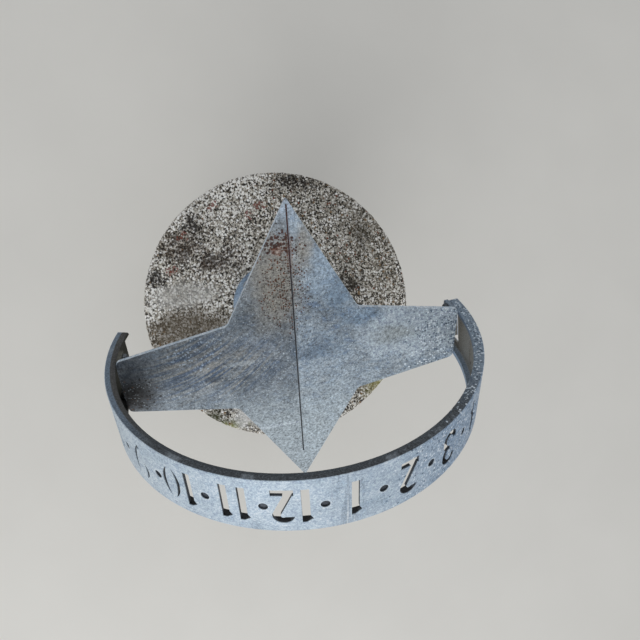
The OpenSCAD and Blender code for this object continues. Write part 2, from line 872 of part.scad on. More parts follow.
module hour_ring() {
    start = scale_turn - morning_end;
    end = scale_turn + evening_end;
    color("cadetblue") on_ring() difference() {
        rotate([0, 0, start]) rotate_extrude(angle = end - start, $fn = 180) band_section();
        difference() {
            rotate([0, 0, start - over]) rotate_extrude(angle = end - start + 2 * over, $fn = 180) hollow_section();
            screw_places(ring_in - 2 * over) cylinder(r = boss_r, h = band_t);
        }
        for (hour = [first_hour:last_hour]) through_band(hour_angle(hour), over) hour_mark(hour);
        for (i = [0:half_hour_count - 1])
            out_at(hour_angle(first_hour + i + 0.5), 0, ring_r - half_hour_depth)
                cylinder(d = half_hour_d, h = band_t);
        for (up = [-1, 1]) {
            through_band(start, band_t) corner_patch([0, up * band_half], [-ring_r, up * band_half], [0, 0], end_corner_r);
            through_band(end, band_t) corner_patch([0, up * band_half], [ring_r, up * band_half], [0, 0], end_corner_r);
        }
        screw_places(0) rotate_extrude() countersunk_hole();
    }
}

// Half the section of a countersunk hole through the band, its height counted from the ring's axis
module countersunk_hole() {
    hole_r = ring_screw_d / 2 + hole_gap;
    head_r = screw_head_r + screw_sink;
    polygon([
        [0, ring_in - over],
        [hole_r, ring_in - over],
        [hole_r, ring_r - head_r + hole_r],
        [head_r, ring_r],
        [head_r, ring_r + over],
        [0, ring_r + over]
    ]);
}

// The evening cleat: a flat leg under the arm, and two tabs on the band, one on each side of the numerals
module cleat() {
    leg_end = ring_in - ring_gap;
    difference() {
        union() {
            on_dial() translate([0, 0, under_plate - cleat_t]) intersection() {
                translate([leg_end - cleat_len, -band_half, 0]) cube([cleat_len, band_w, cleat_t]);
                translate([0, -band_w, plate_half + cleat_t]) rotate([-right_angle, 0, 0])
                    cylinder(r = leg_end, h = 2 * band_w, $fn = 180);
            }
            on_ring() for (up = [-1, 1]) rotate([0, 0, right_angle])
                rotate_extrude(angle = tab_reach, $fn = 180)
                    translate([tab_in, up * screw_line - tab_w / 2]) square([cleat_t, tab_w]);
        }
        on_dial() translate([ring_in - band_w, -band_w, under_plate]) cube([2 * band_w, 2 * band_w, plate_t]);
        on_dial() translate([0, 0, under_plate - cleat_t - over]) cleat_places()
            cylinder(r = cleat_stud_d / 2 + hole_gap, h = cleat_t + 2 * over);
        on_ring() screw_places(tab_in - over) cylinder(r = ring_screw_d / 2 + hole_gap, h = cleat_t + 2 * over);
    }
}

module morning_cleat() {
    color("lightslategray") translate([-2 * dial_shift, 0, 0]) mirror([1, 0, 0]) cleat();
}

module evening_cleat() {
    color("lightslategray") cleat();
}

module cleat_washers() {
    color("silver") on_dial() translate([0, 0, under_plate - cleat_t - washer_t(cleat_stud_d)]) cleat_places()
        washer(cleat_stud_d, washer_d(cleat_stud_d), washer_t(cleat_stud_d));
}

module cleat_nuts() {
    color("silver") on_dial()
        translate([0, 0, under_plate - cleat_t - washer_t(cleat_stud_d) - nut_h(cleat_stud_d)])
        cleat_places() hex_nut(cleat_stud_d, nut_h(cleat_stud_d));
}

ring_nut_r = tab_in - nut_seat_gap - nut_h(ring_screw_d);

module ring_screws() {
    tip = ring_nut_r - thread_past(ring_screw_d);
    head = ring_r - screw_sink - screw_head_h;
    color("silver") on_ring() {
        screw_places(tip) cylinder(d = ring_screw_d, h = head - tip);
        screw_places(head) difference() {
            cylinder(r1 = ring_screw_d / 2, r2 = screw_head_r, h = screw_head_h);
            translate([0, 0, screw_head_h / 3]) cylinder(d = ring_screw_d / 2, h = screw_head_h, $fn = 6);
        }
    }
}

module ring_nuts() {
    color("silver") on_ring() screw_places(ring_nut_r) hex_nut(ring_screw_d, nut_h(ring_screw_d));
}

plinth();
lower_bed();
shaft();
upper_bed();
cap();
dowels();
foot_flange();
anchor_studs();
anchor_washers();
anchor_nuts();
set_screws();
thrust_washer();
stem();
fork();
cross_pin();
pivot_bolt();
pivot_washers();
pivot_nut();
friction_discs();
tilt_strut();
pad_washers();
pad_nuts();
star_plate();
plate_studs();
hour_ring();
morning_cleat();
evening_cleat();
cleat_washers();
cleat_nuts();
ring_screws();
ring_nuts();
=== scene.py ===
import json
import math
import bmesh
import bpy
import numpy as np
from mathutils import Matrix, Vector

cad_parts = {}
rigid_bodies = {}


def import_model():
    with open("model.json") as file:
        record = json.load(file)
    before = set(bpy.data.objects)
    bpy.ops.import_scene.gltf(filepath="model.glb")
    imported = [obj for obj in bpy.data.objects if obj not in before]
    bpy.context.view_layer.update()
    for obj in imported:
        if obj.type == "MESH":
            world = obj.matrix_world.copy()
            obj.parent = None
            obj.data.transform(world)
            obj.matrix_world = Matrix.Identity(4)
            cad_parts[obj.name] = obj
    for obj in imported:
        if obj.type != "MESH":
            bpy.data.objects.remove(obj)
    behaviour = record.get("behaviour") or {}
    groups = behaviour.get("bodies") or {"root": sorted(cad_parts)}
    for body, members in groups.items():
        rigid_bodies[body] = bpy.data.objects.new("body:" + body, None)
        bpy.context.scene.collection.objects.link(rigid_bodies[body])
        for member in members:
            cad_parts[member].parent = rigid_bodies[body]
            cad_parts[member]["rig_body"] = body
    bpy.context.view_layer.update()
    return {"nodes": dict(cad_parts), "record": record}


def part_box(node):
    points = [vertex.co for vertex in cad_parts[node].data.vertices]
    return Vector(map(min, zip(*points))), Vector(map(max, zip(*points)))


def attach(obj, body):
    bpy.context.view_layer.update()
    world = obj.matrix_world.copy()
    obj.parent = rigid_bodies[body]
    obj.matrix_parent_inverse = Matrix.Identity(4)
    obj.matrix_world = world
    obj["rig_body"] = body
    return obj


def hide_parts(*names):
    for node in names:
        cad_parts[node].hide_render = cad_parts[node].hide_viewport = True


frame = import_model()

# The view: a hand-held camera almost straight above the dial, turned a little against its arms.
# The photograph's frame is square, so one field of view serves both ways.

CAMERA_PLACE = (-0.06515, -0.0163, 1.00251)
CAMERA_TURN = tuple(math.radians(a) for a in (0.646, -9.528, -8.902))
CAMERA_LENS_MM = 31.96
CAMERA_SENSOR_MM = 36.0
NEAREST_SEEN = 0.01

camera_data = bpy.data.cameras.new("view")
camera_data.lens = CAMERA_LENS_MM
camera_data.sensor_width = CAMERA_SENSOR_MM
camera_data.clip_start = NEAREST_SEEN
camera = bpy.data.objects.new("view", camera_data)
camera.location = CAMERA_PLACE
camera.rotation_euler = CAMERA_TURN
bpy.context.scene.collection.objects.link(camera)
bpy.context.scene.camera = camera


# The floor and the light: a pale matt floor, a soft even surround, and one broad soft lamp on the side
# that the dial faces, as under an open sky beside a wall.

def linear(colour):
    """An sRGB hex colour as the linear RGBA that shaders take."""
    parts = [int(colour[i:i + 2], 16) / 255 for i in (1, 3, 5)]
    return tuple(c / 12.92 if c <= 0.04045 else ((c + 0.055) / 1.055) ** 2.4 for c in parts) + (1.0,)


def plug(node, inputs):
    """Gives a node's sockets, by their names or places, a value or another node's output. A node given as a
    value stands for its first output."""
    for socket, value in dict(inputs).items():
        if isinstance(value, bpy.types.Node):
            value = value.outputs[0]
        if isinstance(value, bpy.types.NodeSocket):
            node.id_data.links.new(value, node.inputs[socket])
        else:
            node.inputs[socket].default_value = value


def add(tree, kind, inputs=(), **fields):
    """Adds one shader node: fields are its own settings, and inputs says what its sockets get."""
    made = tree.nodes.new("ShaderNode" + kind)
    for name, value in fields.items():
        setattr(made, name, value)
    plug(made, inputs)
    return made


def new_material(name):
    """A material with an empty tree, its Principled shader and its Object coordinates."""
    material = bpy.data.materials.new(name)
    material.use_nodes = True
    tree = material.node_tree
    tree.nodes.clear()
    shader = add(tree, "BsdfPrincipled")
    add(tree, "OutputMaterial", {"Surface": shader})
    return material, tree, shader, add(tree, "TexCoord").outputs["Object"]


MM = 0.001
FLOOR_SIZE = 6000 * MM
FLOOR_COLOURS = ("#DAD8D2", "#E2E0DA")
FLOOR_MOTTLE = 160 * MM
WORLD_COLOUR = "#F2F4F7"
WORLD_STRENGTH = 0.62
SKY_LAMP_WATTS = 24.0
SKY_LAMP_SIZE = 1800 * MM
SKY_LAMP_PLACE = (-0.9, -1.7, 1.7)
SKY_LAMP_AIM = (0, -0.05, 0.45)

# Matt floor paint: the faint cloudiness of a rolled coat, no gloss
floor_paint, tree, shader, place = new_material("floor_paint")
mottle = add(tree, "TexNoise", {"Vector": place, "Scale": 1 / FLOOR_MOTTLE, "Detail": 3.0})
darker, paler = (linear(colour) for colour in FLOOR_COLOURS)
tone = add(tree, "Mix", {0: mottle, 6: darker, 7: paler}, data_type="RGBA")
plug(shader, {"Base Color": tone.outputs[2], "Roughness": 0.9})

half_floor = FLOOR_SIZE / 2
floor_corners = [(x * half_floor, y * half_floor, 0) for x, y in ((-1, -1), (1, -1), (1, 1), (-1, 1))]
floor_mesh = bpy.data.meshes.new("floor")
floor_mesh.from_pydata(floor_corners, [], [(0, 1, 2, 3)])
floor_mesh.materials.append(floor_paint)
floor = bpy.data.objects.new("floor", floor_mesh)
bpy.context.scene.collection.objects.link(floor)

world = bpy.data.worlds.new("surround")
world.use_nodes = True
backdrop = world.node_tree.nodes["Background"]
backdrop.inputs["Color"].default_value = linear(WORLD_COLOUR)
backdrop.inputs["Strength"].default_value = WORLD_STRENGTH
bpy.context.scene.world = world

sky_data = bpy.data.lights.new("sky", "AREA")
sky_data.energy = SKY_LAMP_WATTS
sky_data.size = SKY_LAMP_SIZE
sky = bpy.data.objects.new("sky", sky_data)
sky.location = SKY_LAMP_PLACE
sky.rotation_euler = (Vector(SKY_LAMP_AIM) - Vector(SKY_LAMP_PLACE)).to_track_quat("-Z", "Y").to_euler()
bpy.context.scene.collection.objects.link(sky)
bpy.context.scene.view_settings.view_transform = "Standard"


# Plinth, shaft and cap: cast stone with its aggregate laid bare by years of rain, three turned shapes
# stacked on mortar. The grains stand proud of the worn cement, lichen darkens it in patches, and moss
# holds on where water lies.

GRAIN = 3.0 * MM
SAND = 1.3 * MM
GRAIN_RELIEF = 0.6 * MM
WEATHERING = 0.8 * MM
UNEVENNESS = 45 * MM
BEARING_T = 0.5 * MM
BEARING_SHARE = 0.6
SMALLEST_GRAIN = 0.3
GRAIN_RANGE = 0.4
LATTICE = 32
rng = np.random.default_rng(34)
grain_place = rng.random((LATTICE, LATTICE, LATTICE, 3))
grain_size = rng.random((LATTICE, LATTICE, LATTICE))


def grain_domes(points, size):
    """How high each point stands on the nearest grain, from 0 in the cement to 1 on a grain's top.
    One grain lies at a random place in each cell of a cubic lattice, so the 27 cells round a point are tried;
    a grain of radius g makes a half round, the square root of 1 - (distance / g) squared."""
    scaled = points / size
    cell = np.floor(scaled).astype(int)
    height = np.zeros(len(points))
    for step in np.ndindex(3, 3, 3):
        around = cell + np.array(step) - 1
        index = tuple((around % LATTICE).T)
        radius = SMALLEST_GRAIN + GRAIN_RANGE * grain_size[index]
        distance = np.linalg.norm(around + grain_place[index] - scaled, axis=1)
        dome = np.sqrt(np.clip(1 - (distance / radius) ** 2, 0, 1)) * radius
        height = np.maximum(height, dome / (SMALLEST_GRAIN + GRAIN_RANGE))
    return height


def soft_waves(points, length, count=9):
    """Gentle unevenness between -1 and 1: the mean of sine waves about that long in random directions."""
    waves = np.random.default_rng(int(length * 1e5))
    ways = waves.normal(size=(count, 3))
    ways *= 2 * math.pi / length / np.linalg.norm(ways, axis=1)[:, None] * waves.uniform(0.6, 1.6, (count, 1))
    return np.sin(points @ ways.T + waves.uniform(0, 2 * math.pi, count)).mean(axis=1)


def rounded(corners, radii, steps=6):
    """An outline with each corner replaced by an arc, which starts and ends where the corner's two sides
    touch a circle of that radius."""
    out = []
    for i, corner in enumerate(np.array(corners, float)):
        if radii[i] <= 0:
            out.append(corner[None])
            continue
        a = np.array(corners[i - 1], float) - corner
        b = np.array(corners[(i + 1) % len(corners)], float) - corner
        a /= np.linalg.norm(a)
        b /= np.linalg.norm(b)
        half_angle = math.acos(np.clip(a @ b, -1, 1)) / 2
        middle = corner + (a + b) / np.linalg.norm(a + b) * radii[i] / math.sin(half_angle)
        first = corner + a * radii[i] / math.tan(half_angle) - middle
        last = corner + b * radii[i] / math.tan(half_angle) - middle
        turn = math.acos(np.clip(first @ last / radii[i] ** 2, -1, 1))
        angles = np.linspace(0, turn * np.sign(first[0] * last[1] - first[1] * last[0]), steps + 1)
        c, s = np.cos(angles), np.sin(angles)
        out.append(middle + np.stack([c * first[0] - s * first[1], s * first[0] + c * first[1]], 1))
    return np.concatenate(out)


def spaced(line, step):
    """Points about a fixed distance apart along a polyline."""
    lengths = np.concatenate([[0], np.cumsum(np.linalg.norm(np.diff(line, axis=0), axis=1))])
    at = np.linspace(0, lengths[-1], max(2, int(round(lengths[-1] / step)) + 1))
    return np.stack([np.interp(at, lengths, line[:, k]) for k in range(2)], 1)


def grid_faces(rows, columns, closed=False):
    """Quads of a grid that closes on itself across its columns and, if closed, along its rows too."""
    i, j = np.meshgrid(np.arange(rows if closed else rows - 1), np.arange(columns), indexing="ij")
    below, beside = (i + 1) % rows, (j + 1) % columns
    row, next_row = i * columns, below * columns
    quads = np.stack([row + j, row + beside, next_row + beside, next_row + j], -1)
    return quads.reshape(-1, 4)


def turned(radius, height, around):
    """A surface turned round the z axis: radius and height give each row of the grid, or each point of it,
    and the last row and the first are closed by a point on the axis."""
    angle = np.linspace(0, 2 * math.pi, around, endpoint=False)
    radius, height = (np.broadcast_to(v.reshape(len(v), -1), (len(v), around)) for v in (radius, height))
    points = np.stack([radius * np.cos(angle), radius * np.sin(angle), height], -1).reshape(-1, 3)
    rows = len(radius)
    ends = [[0, 0, height[0].mean()], [0, 0, height[-1].mean()]]
    ring = np.arange(around)
    after = (ring + 1) % around
    last_row = (rows - 1) * around
    low = np.stack([np.full(around, rows * around), after, ring], 1)
    high = np.stack([np.full(around, rows * around + 1), ring + last_row, after + last_row], 1)
    return np.concatenate([points, ends]), [grid_faces(rows, around), low, high]


def place_piece(name, mesh, body, node):
    """An object at the origin that rides on a body and stands for a CAD node."""
    piece = bpy.data.objects.new(name, mesh)
    bpy.context.scene.collection.objects.link(piece)
    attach(piece, body)
    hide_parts(node)
    return piece


def make_piece(name, points, faces, material, body, node, crease_deg=180):
    """A piece from points and groups of faces, which are turned to point outwards. Edges sharper than the
    crease angle stay sharp."""
    listed = [f for group in faces for f in group.tolist()]
    area_sum = 0.0
    for group in faces:
        corners = points[group]
        area_sum += sum(np.einsum("ij,ij->", corners[:, 0], np.cross(corners[:, k], corners[:, k + 1]))
                        for k in range(1, corners.shape[1] - 1))
    if area_sum < 0:
        listed = [f[::-1] for f in listed]
    mesh = bpy.data.meshes.new(name)
    mesh.from_pydata(points.tolist(), [], listed)
    mesh.polygons.foreach_set("use_smooth", np.ones(len(mesh.polygons), bool))
    if crease_deg < 180:
        mesh.set_sharp_from_angle(angle=math.radians(crease_deg))
    mesh.materials.append(material)
    mesh.update()
    place_piece(name, mesh, body, node)


def worn_stone(node, outline, radii, step, around, material, grain=GRAIN,
               relief=GRAIN_RELIEF, weathering=WEATHERING):
    """An outline of (radius, height) turned round the axis, and worn back along its normals: everywhere by a
    gentle unevenness, and between the grains by their relief. The faces that bear on a bed stay flat."""
    line = spaced(rounded(outline, radii), step)
    line = line[line[:, 0] > 0.4 * step]
    along = np.gradient(line, axis=0)
    outward = np.stack([along[:, 1], -along[:, 0]], 1)
    outward /= np.linalg.norm(outward, axis=1)[:, None]
    points, faces = turned(line[:, 0], line[:, 1], around)
    angle = np.linspace(0, 2 * math.pi, around, endpoint=False)
    normals = np.stack([outward[:, :1] * np.cos(angle), outward[:, :1] * np.sin(angle),
                        np.repeat(outward[:, 1:], around, 1)], -1).reshape(-1, 3)
    surface = points[:-2]
    worn = (1 - grain_domes(surface, grain)) * relief + (1 + soft_waves(surface, UNEVENNESS)) * weathering / 2
    low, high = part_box(node)
    resting = (surface[:, 2] < low[2] + BEARING_T) | (surface[:, 2] > high[2] - BEARING_T)
    bearing = resting & (np.hypot(surface[:, 0], surface[:, 1]) < BEARING_SHARE * high[0])
    points[:-2] = surface - normals * (worn * ~bearing)[:, None]
    make_piece("worn_" + node, points, faces, material, "root", node)


def mask(tree, *parts):
    """How far all the parts agree: their product. A part is a node or one of its outputs, a number, or
    (value, start, full): a value that counts for nothing at the start and wholly at full, with a smooth slope
    between them."""
    product = None
    for part in parts:
        if isinstance(part, tuple):
            part = add(tree, "MapRange", dict(enumerate(part)), interpolation_type="SMOOTHSTEP")
        if product is not None:
            part = add(tree, "Math", {0: product, 1: part}, operation="MULTIPLY")
        product = part
    return product


def patch(place, middle, reach, ragged=0.5, sharp=0.35):
    """How much a point lies in an oval patch: 1 inside, 0 outside, with an edge broken up by noise.
    Its middle and its reach along each axis are in millimetres."""
    tree = place.id_data
    local = add(tree, "Mapping", {"Vector": place, "Location": [v * MM for v in middle],
                                  "Scale": [v * MM for v in reach]}, vector_type="TEXTURE")
    away = add(tree, "VectorMath", {0: local}, operation="LENGTH").outputs["Value"]
    broken = add(tree, "TexNoise", {"Vector": place, "Scale": 1.3 / (min(reach) * MM), "Detail": 8.0,
                                    "Roughness": 0.68})
    edge = add(tree, "Math", {0: broken, 1: 2 * ragged, 2: away}, operation="MULTIPLY_ADD")
    return mask(tree, (edge, 1 + ragged, 1 + ragged - sharp))


def stained(tree, colour, layers):
    """Lays colours over one another in turn. A layer is (colour, amount, and the parts of its mask); a colour
    is sRGB hex, a node or one of its outputs."""
    for shade, amount, *where in layers:
        below, above = (linear(c) if isinstance(c, str) else c for c in (colour, shade))
        share = mask(tree, *where, amount)
        colour = add(tree, "Mix", {0: share, 6: below, 7: above}, data_type="RGBA").outputs[2]
    return colour


def specks(place, spacing, share, size=0.42, where=1.0):
    """Scattered round specks: each cell of a Voronoi pattern of that spacing, in metres, has one if its
    random number is under the share, which falls off as the mask does. The size is the speck's radius in
    spacings."""
    tree = place.id_data
    cells = add(tree, "TexVoronoi", {"Vector": place, "Scale": 1 / spacing})
    number = add(tree, "SeparateColor", {0: cells.outputs["Color"]})
    chosen = add(tree, "Math", {0: number, 1: mask(tree, where, share)}, operation="LESS_THAN")
    near = add(tree, "MapRange", {0: cells.outputs["Distance"], 1: size, 2: 0.75 * size})
    return mask(tree, near, chosen)


def colour_ramp(factor, stops, stepped=False):
    """Colours along a factor; stops are (position, hex colour)."""
    node = add(factor.id_data, "ValToRGB", {0: factor})
    ramp = node.color_ramp
    ramp.interpolation = "CONSTANT" if stepped else "LINEAR"
    for element, (position, colour) in zip(ramp.elements, (stops[0], stops[-1])):
        element.position, element.color = position, linear(colour)
    for position, colour in stops[1:-1]:
        ramp.elements.new(position).color = linear(colour)
    return node


# Exposed-aggregate concrete: quartz, limestone and basalt grains of 2 to 4 mm give a coarse salt and pepper,
# sand and cement lie dark between them, and nothing shines
CRUSHING = 2.2 * MM
SHAKE = 2.4 * MM
GROWTH = 60 * MM
CAP_LIGHT_SHIFT = -0.36
GRAIN_COLOURS = [(0.0, "#FBFAF7"), (0.22, "#E4E2DC"), (0.38, "#C2BEB4"), (0.54, "#9A9489"), (0.68, "#6B645A"),
                 (0.78, "#302D2A"), (0.9, "#8A7358"), (0.965, "#7B4A38")]
CEMENT_COLOURS = [(0.0, "#2C2925"), (0.3, "#69645B"), (0.48, "#A29C90"), (0.7, "#DAD6CD"), (0.9, "#F6F4EE")]

stone, tree, shader, place = new_material("exposed_aggregate_concrete")
crushed = add(tree, "TexNoise", {"Vector": place, "Scale": 1 / CRUSHING, "Detail": 2.0})
shaken = add(tree, "VectorMath", {0: crushed.outputs["Color"], 1: (SHAKE,) * 3, 2: place},
             operation="MULTIPLY_ADD")
cells = add(tree, "TexVoronoi", {"Vector": shaken, "Scale": 1 / GRAIN})
pick = add(tree, "SeparateColor", {0: cells.outputs["Color"]})
sand_cells = add(tree, "TexVoronoi", {"Vector": shaken, "Scale": 1 / SAND})
sand_pick = add(tree, "SeparateColor", {0: sand_cells.outputs["Color"]})
growth = add(tree, "TexNoise", {"Vector": place, "Scale": 1 / GROWTH, "Detail": 9.0, "Roughness": 0.7})

# Middles and reaches are in millimetres from the pedestal's foot, and the cap's face lies at 365.
# A patch of the cap is painted paler, with fewer dark grains: painted light that lifts the plate's shadow
# there
CAP_FACE = 365
paler = mask(tree, patch(place, (-80, 60, CAP_FACE), (105, 135, 70), 0.5, 0.8), (growth, 0.62, 0.4))
shifted = add(tree, "Math", {0: paler, 1: CAP_LIGHT_SHIFT, 2: pick}, operation="MULTIPLY_ADD")
grains = colour_ramp(shifted, GRAIN_COLOURS, stepped=True)
cement = colour_ramp(sand_pick.outputs[1], CEMENT_COLOURS, stepped=True)
between = add(tree, "MapRange", {0: cells.outputs["Distance"], 1: 0.36, 2: 0.5})
colour = stained(tree, grains, [
    (cement, 1.0, between),
    ("#BBBAB6", 0.55, patch(place, (-104, 24, CAP_FACE), (50, 20, 60), 0.4, 0.6)),
    ("#5A5144", 0.72, patch(place, (-104, -14, CAP_FACE), (64, 30, 60), 0.35, 0.6)),
])
for middle, reach in (((-66, 122), (66, 26)), ((-138, 52), (20, 62)), ((-16, 138), (42, 20))):
    washed = patch(place, (*middle, CAP_FACE), (*reach, 40), 0.5, 0.6)
    colour = stained(tree, colour, [("#F4F3EF", 0.9, specks(shaken, 2.4 * MM, 0.55, 0.6, washed))])
colour = stained(tree, colour, [("#4A443B", 0.12, (growth, 0.42, 0.6))])

# Lichen: each row is a middle, a reach, the colour of the thin spread and its amount; dark tufts stand on it
LICHEN = [((-82, 101), (20, 24), "#3B3836", 0.9), ((-92, 74), (34, 26), "#66503F", 0.68),
          ((-62, 58), (30, 26), "#5E4A3E", 0.7), ((-131, 46), (13, 15), "#33302D", 0.9),
          ((36, 135), (40, 15), "#3A342E", 0.85), ((80, 12), (24, 34), "#38332D", 0.9),
          ((-43, 46), (14, 14), "#4A443E", 0.5), ((104, 66), (16, 30), "#4A4436", 0.5)]
for middle, reach, shade, amount in LICHEN:
    spread = patch(place, (*middle, CAP_FACE), (*reach, 60), 1.5, 1.0)
    tufts = specks(shaken, 2.6 * MM, 0.9, 0.75, spread)
    colour = stained(tree, colour, [(shade, 0.42 * amount, spread), ("#211D1A", amount, tufts)])

# Grains of rusty ironstone, and a dull shade on the cap's far side
RUSTY_GRAINS = [(-7, 112), (-18, 103), (-58, 118), (-96, 88), (-112, 52)]
for middle in RUSTY_GRAINS:
    near = patch(place, (*middle, CAP_FACE), (11, 8, 40), 0.3, 0.8)
    colour = stained(tree, colour, [("#74392B", 0.85, specks(shaken, GRAIN, 1.0, 0.6, near))])
far_side = patch(place, (110, 50, CAP_FACE), (50, 95, 60), 0.3, 0.7)
colour = stained(tree, colour, [("#6A6250", 0.16, far_side)])

# Moss and pale crust along the cap's low edge
MOSS = [((-97, -118, 365), (24, 18, 50), "#3D4024", 0.8), ((-80, -128, 356), (34, 12, 22), "#7F8440", 0.75),
        ((-55, -120, 365), (20, 18, 20), "#E6E6E4", 0.7), ((92, -104, 365), (26, 26, 20), "#9A945E", 0.55),
        ((104, -108, 356), (14, 32, 22), "#98965A", 0.55)]
for middle, reach, shade, amount in MOSS:
    colour = stained(tree, colour, [(shade, amount, patch(place, middle, reach, 1.2, 1.0))])

# Green damp at the pedestal's foot and a darkening just under the cap, both well below the cap's face
level = add(tree, "SeparateXYZ", {0: place}).outputs["Z"]
below_face = (level, 362 * MM, 350 * MM)
colour = stained(tree, colour, [
    ("#4A4D28", 0.95, (level, 90 * MM, 0.0), (growth, 0.3, 0.62), below_face),
    ("#3A372F", 0.35, (level, 350 * MM, 325 * MM), (growth, 0.3, 0.62), below_face),
])
grain_bump = add(tree, "MapRange", {0: cells.outputs["Distance"], 1: 0.6, 2: 0.1})
coarse = add(tree, "Bump", {"Height": grain_bump, "Strength": 0.6, "Distance": 0.8 * MM})
fine = add(tree, "Bump", {"Height": sand_cells.outputs["Distance"], "Strength": 0.4, "Distance": 0.5 * MM,
                          "Normal": coarse})
plug(shader, {"Base Color": colour, "Normal": fine, "Roughness": 0.93, "Specular IOR Level": 0.25})

ARRIS = 4 * MM
COVE = 12 * MM
low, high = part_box("plinth")
worn_stone("plinth", [(0, low[2]), (high[0], low[2]), (high[0], high[2]), (0, high[2])], [0, 0, 2 * ARRIS, 0],
           2.1 * MM, 500, stone)

SHAFT_FOOT_R = 94 * MM
SHAFT_NECK_R = 80 * MM
FOOT_MOULD_H = 18 * MM
NECK_MOULD_R = 98 * MM
NECK_MOULD_H = 12 * MM
low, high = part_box("shaft")
foot_top, neck_base = low[2] + FOOT_MOULD_H, high[2] - NECK_MOULD_H
worn_stone("shaft", [(0, low[2]), (high[0], low[2]), (high[0], foot_top), (SHAFT_FOOT_R, foot_top),
                     (SHAFT_NECK_R, neck_base), (NECK_MOULD_R, neck_base), (NECK_MOULD_R, high[2]),
                     (0, high[2])],
           [0, 0, ARRIS, COVE, COVE, ARRIS, 0, 0], 1.9 * MM, 380, stone)

BED_MOULD_H = 16 * MM
BED_MOULD_R = 124 * MM
cap_low, cap_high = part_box("cap")
mould_top = cap_low[2] + BED_MOULD_H
worn_stone("cap", [(0, cap_low[2]), (BED_MOULD_R, cap_low[2]), (BED_MOULD_R, mould_top),
                   (cap_high[0], mould_top), (cap_high[0], cap_high[2]), (0, cap_high[2])],
           [0, ARRIS / 2, COVE, ARRIS, ARRIS, 0], 2.05 * MM, 540, stone)


# Mortar beds: lime and sharp sand, raked back behind the stones' edges, with a steel dowel through each
# bed to keep the stones from shifting.

SHARP_SAND = 1.1 * MM
SANDY = [(0.0, "#8D8678"), (0.5, "#B0A998"), (0.9, "#6B6355")]

# Lime mortar: buff sharp sand laid bare, with grime in its hollows and no shine
mortar, tree, shader, place = new_material("lime_mortar")
sand = add(tree, "TexVoronoi", {"Vector": place, "Scale": 1 / SHARP_SAND})
sand_pick = add(tree, "SeparateColor", {0: sand.outputs["Color"]})
dirt = add(tree, "TexNoise", {"Vector": place, "Scale": 1 / (25 * MM), "Detail": 6.0, "Roughness": 0.65})
grime = add(tree, "MapRange", {0: dirt, 1: 0.4, 2: 0.65})
sandy = colour_ramp(sand_pick, SANDY, stepped=True)
rough = add(tree, "Bump", {"Height": sand.outputs["Distance"], "Strength": 0.7, "Distance": 0.5 * MM})
plug(shader, {"Base Color": stained(tree, sandy, [("#4A463A", 0.7, grime)]), "Normal": rough,
              "Roughness": 0.95})

for bed in ("lower_bed", "upper_bed"):
    low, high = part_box(bed)
    worn_stone(bed, [(0, low[2]), (high[0], low[2]), (high[0], high[2]), (0, high[2])], [0, 0, 0, 0],
               1.2 * MM, 420, mortar, grain=SHARP_SAND, relief=0.3 * MM, weathering=0.6 * MM)


def rusted_steel(name, metal, rust, rust_share, rust_size):
    """Plain steel that rusts where its oil has gone: orange-brown bloom in patches over dark metal."""
    material, tree, shader, place = new_material(name)
    bloom = add(tree, "TexNoise", {"Vector": place, "Scale": 1 / rust_size, "Detail": 8.0, "Roughness": 0.7})
    gone = 0.7 - rust_share / 2
    rusty = add(tree, "MapRange", {0: bloom, 1: gone, 2: gone + 0.1})
    pits = add(tree, "TexNoise", {"Vector": place, "Scale": 1 / (0.6 * MM), "Detail": 3.0})
    rust_tones = stained(tree, rust[0], [(rust[1], 1.0, pits)])
    plug(shader, {"Base Color": stained(tree, metal, [(rust_tones, 1.0, rusty)]),
                  "Roughness": add(tree, "MapRange", {0: rusty, 3: 0.42, 4: 0.9}),
                  "Metallic": add(tree, "MapRange", {0: rusty, 3: 0.9, 4: 0.05}),
                  "Normal": add(tree, "Bump", {"Height": pits, "Strength": 0.4, "Distance": 0.15 * MM})})
    return material


def dress(node, material):
    """Gives a CAD node that keeps its own shape its material."""
    made = frame["nodes"][node].data.materials
    made.clear()
    made.append(material)


dress("dowels", rusted_steel("rusted_dowel_steel", "#4A4642", ("#5A3423", "#8A5232"), 0.6, 14 * MM))


# Swivel foot: a turned flange and hub on four anchor studs set in the cap, a bronze thrust washer, and the
# stem that turns in it. Galvanised steel that has kept its bluish zinc, since the plate shelters it.

ZINC_CLOUDS = 34 * MM
ZINC_FROST = 2.2 * MM


def zinc_patina(at, dark, pale, clouds=ZINC_CLOUDS, frost=ZINC_FROST):
    """Old galvanising: cloudy patches some centimetres across, and the frosted speckle over them. Gives the
    colours, and the patches and the speckle as values."""
    tree = at.id_data
    cloudy = add(tree, "TexNoise", {"Vector": at, "Scale": 1 / clouds, "Detail": 7.0, "Roughness": 0.6})
    cover = add(tree, "MapRange", {0: cloudy, 1: 0.34, 2: 0.66})
    frosty = add(tree, "TexNoise", {"Vector": at, "Scale": 1 / frost, "Detail": 4.0, "Roughness": 0.9})
    return stained(tree, dark, [(pale, 1.0, cover)]), cover, frosty


def finish_zinc(shader, colour, cover, frosty, metallic=0.35, smooth=0.42, dull=0.66, relief=0.12 * MM,
                contrast=0.6):
    """Zinc's dull sheen: a speckle of its dulled crystals over the colours, smoother where the patina is
    pale, and a light roughness of the crystals."""
    tree = shader.id_data
    light = add(tree, "MapRange", {0: frosty, 1: 0.34, 2: 0.66})
    grey = add(tree, "CombineColor", {k: light for k in range(3)})
    speckled = add(tree, "Mix", {0: contrast, 6: colour, 7: grey}, data_type="RGBA", blend_type="OVERLAY")
    plug(shader, {"Base Color": speckled.outputs[2], "Metallic": metallic,
                  "Roughness": add(tree, "MapRange", {0: cover, 3: dull, 4: smooth}),
                  "Normal": add(tree, "Bump", {"Height": frosty, "Strength": 0.35, "Distance": relief})})


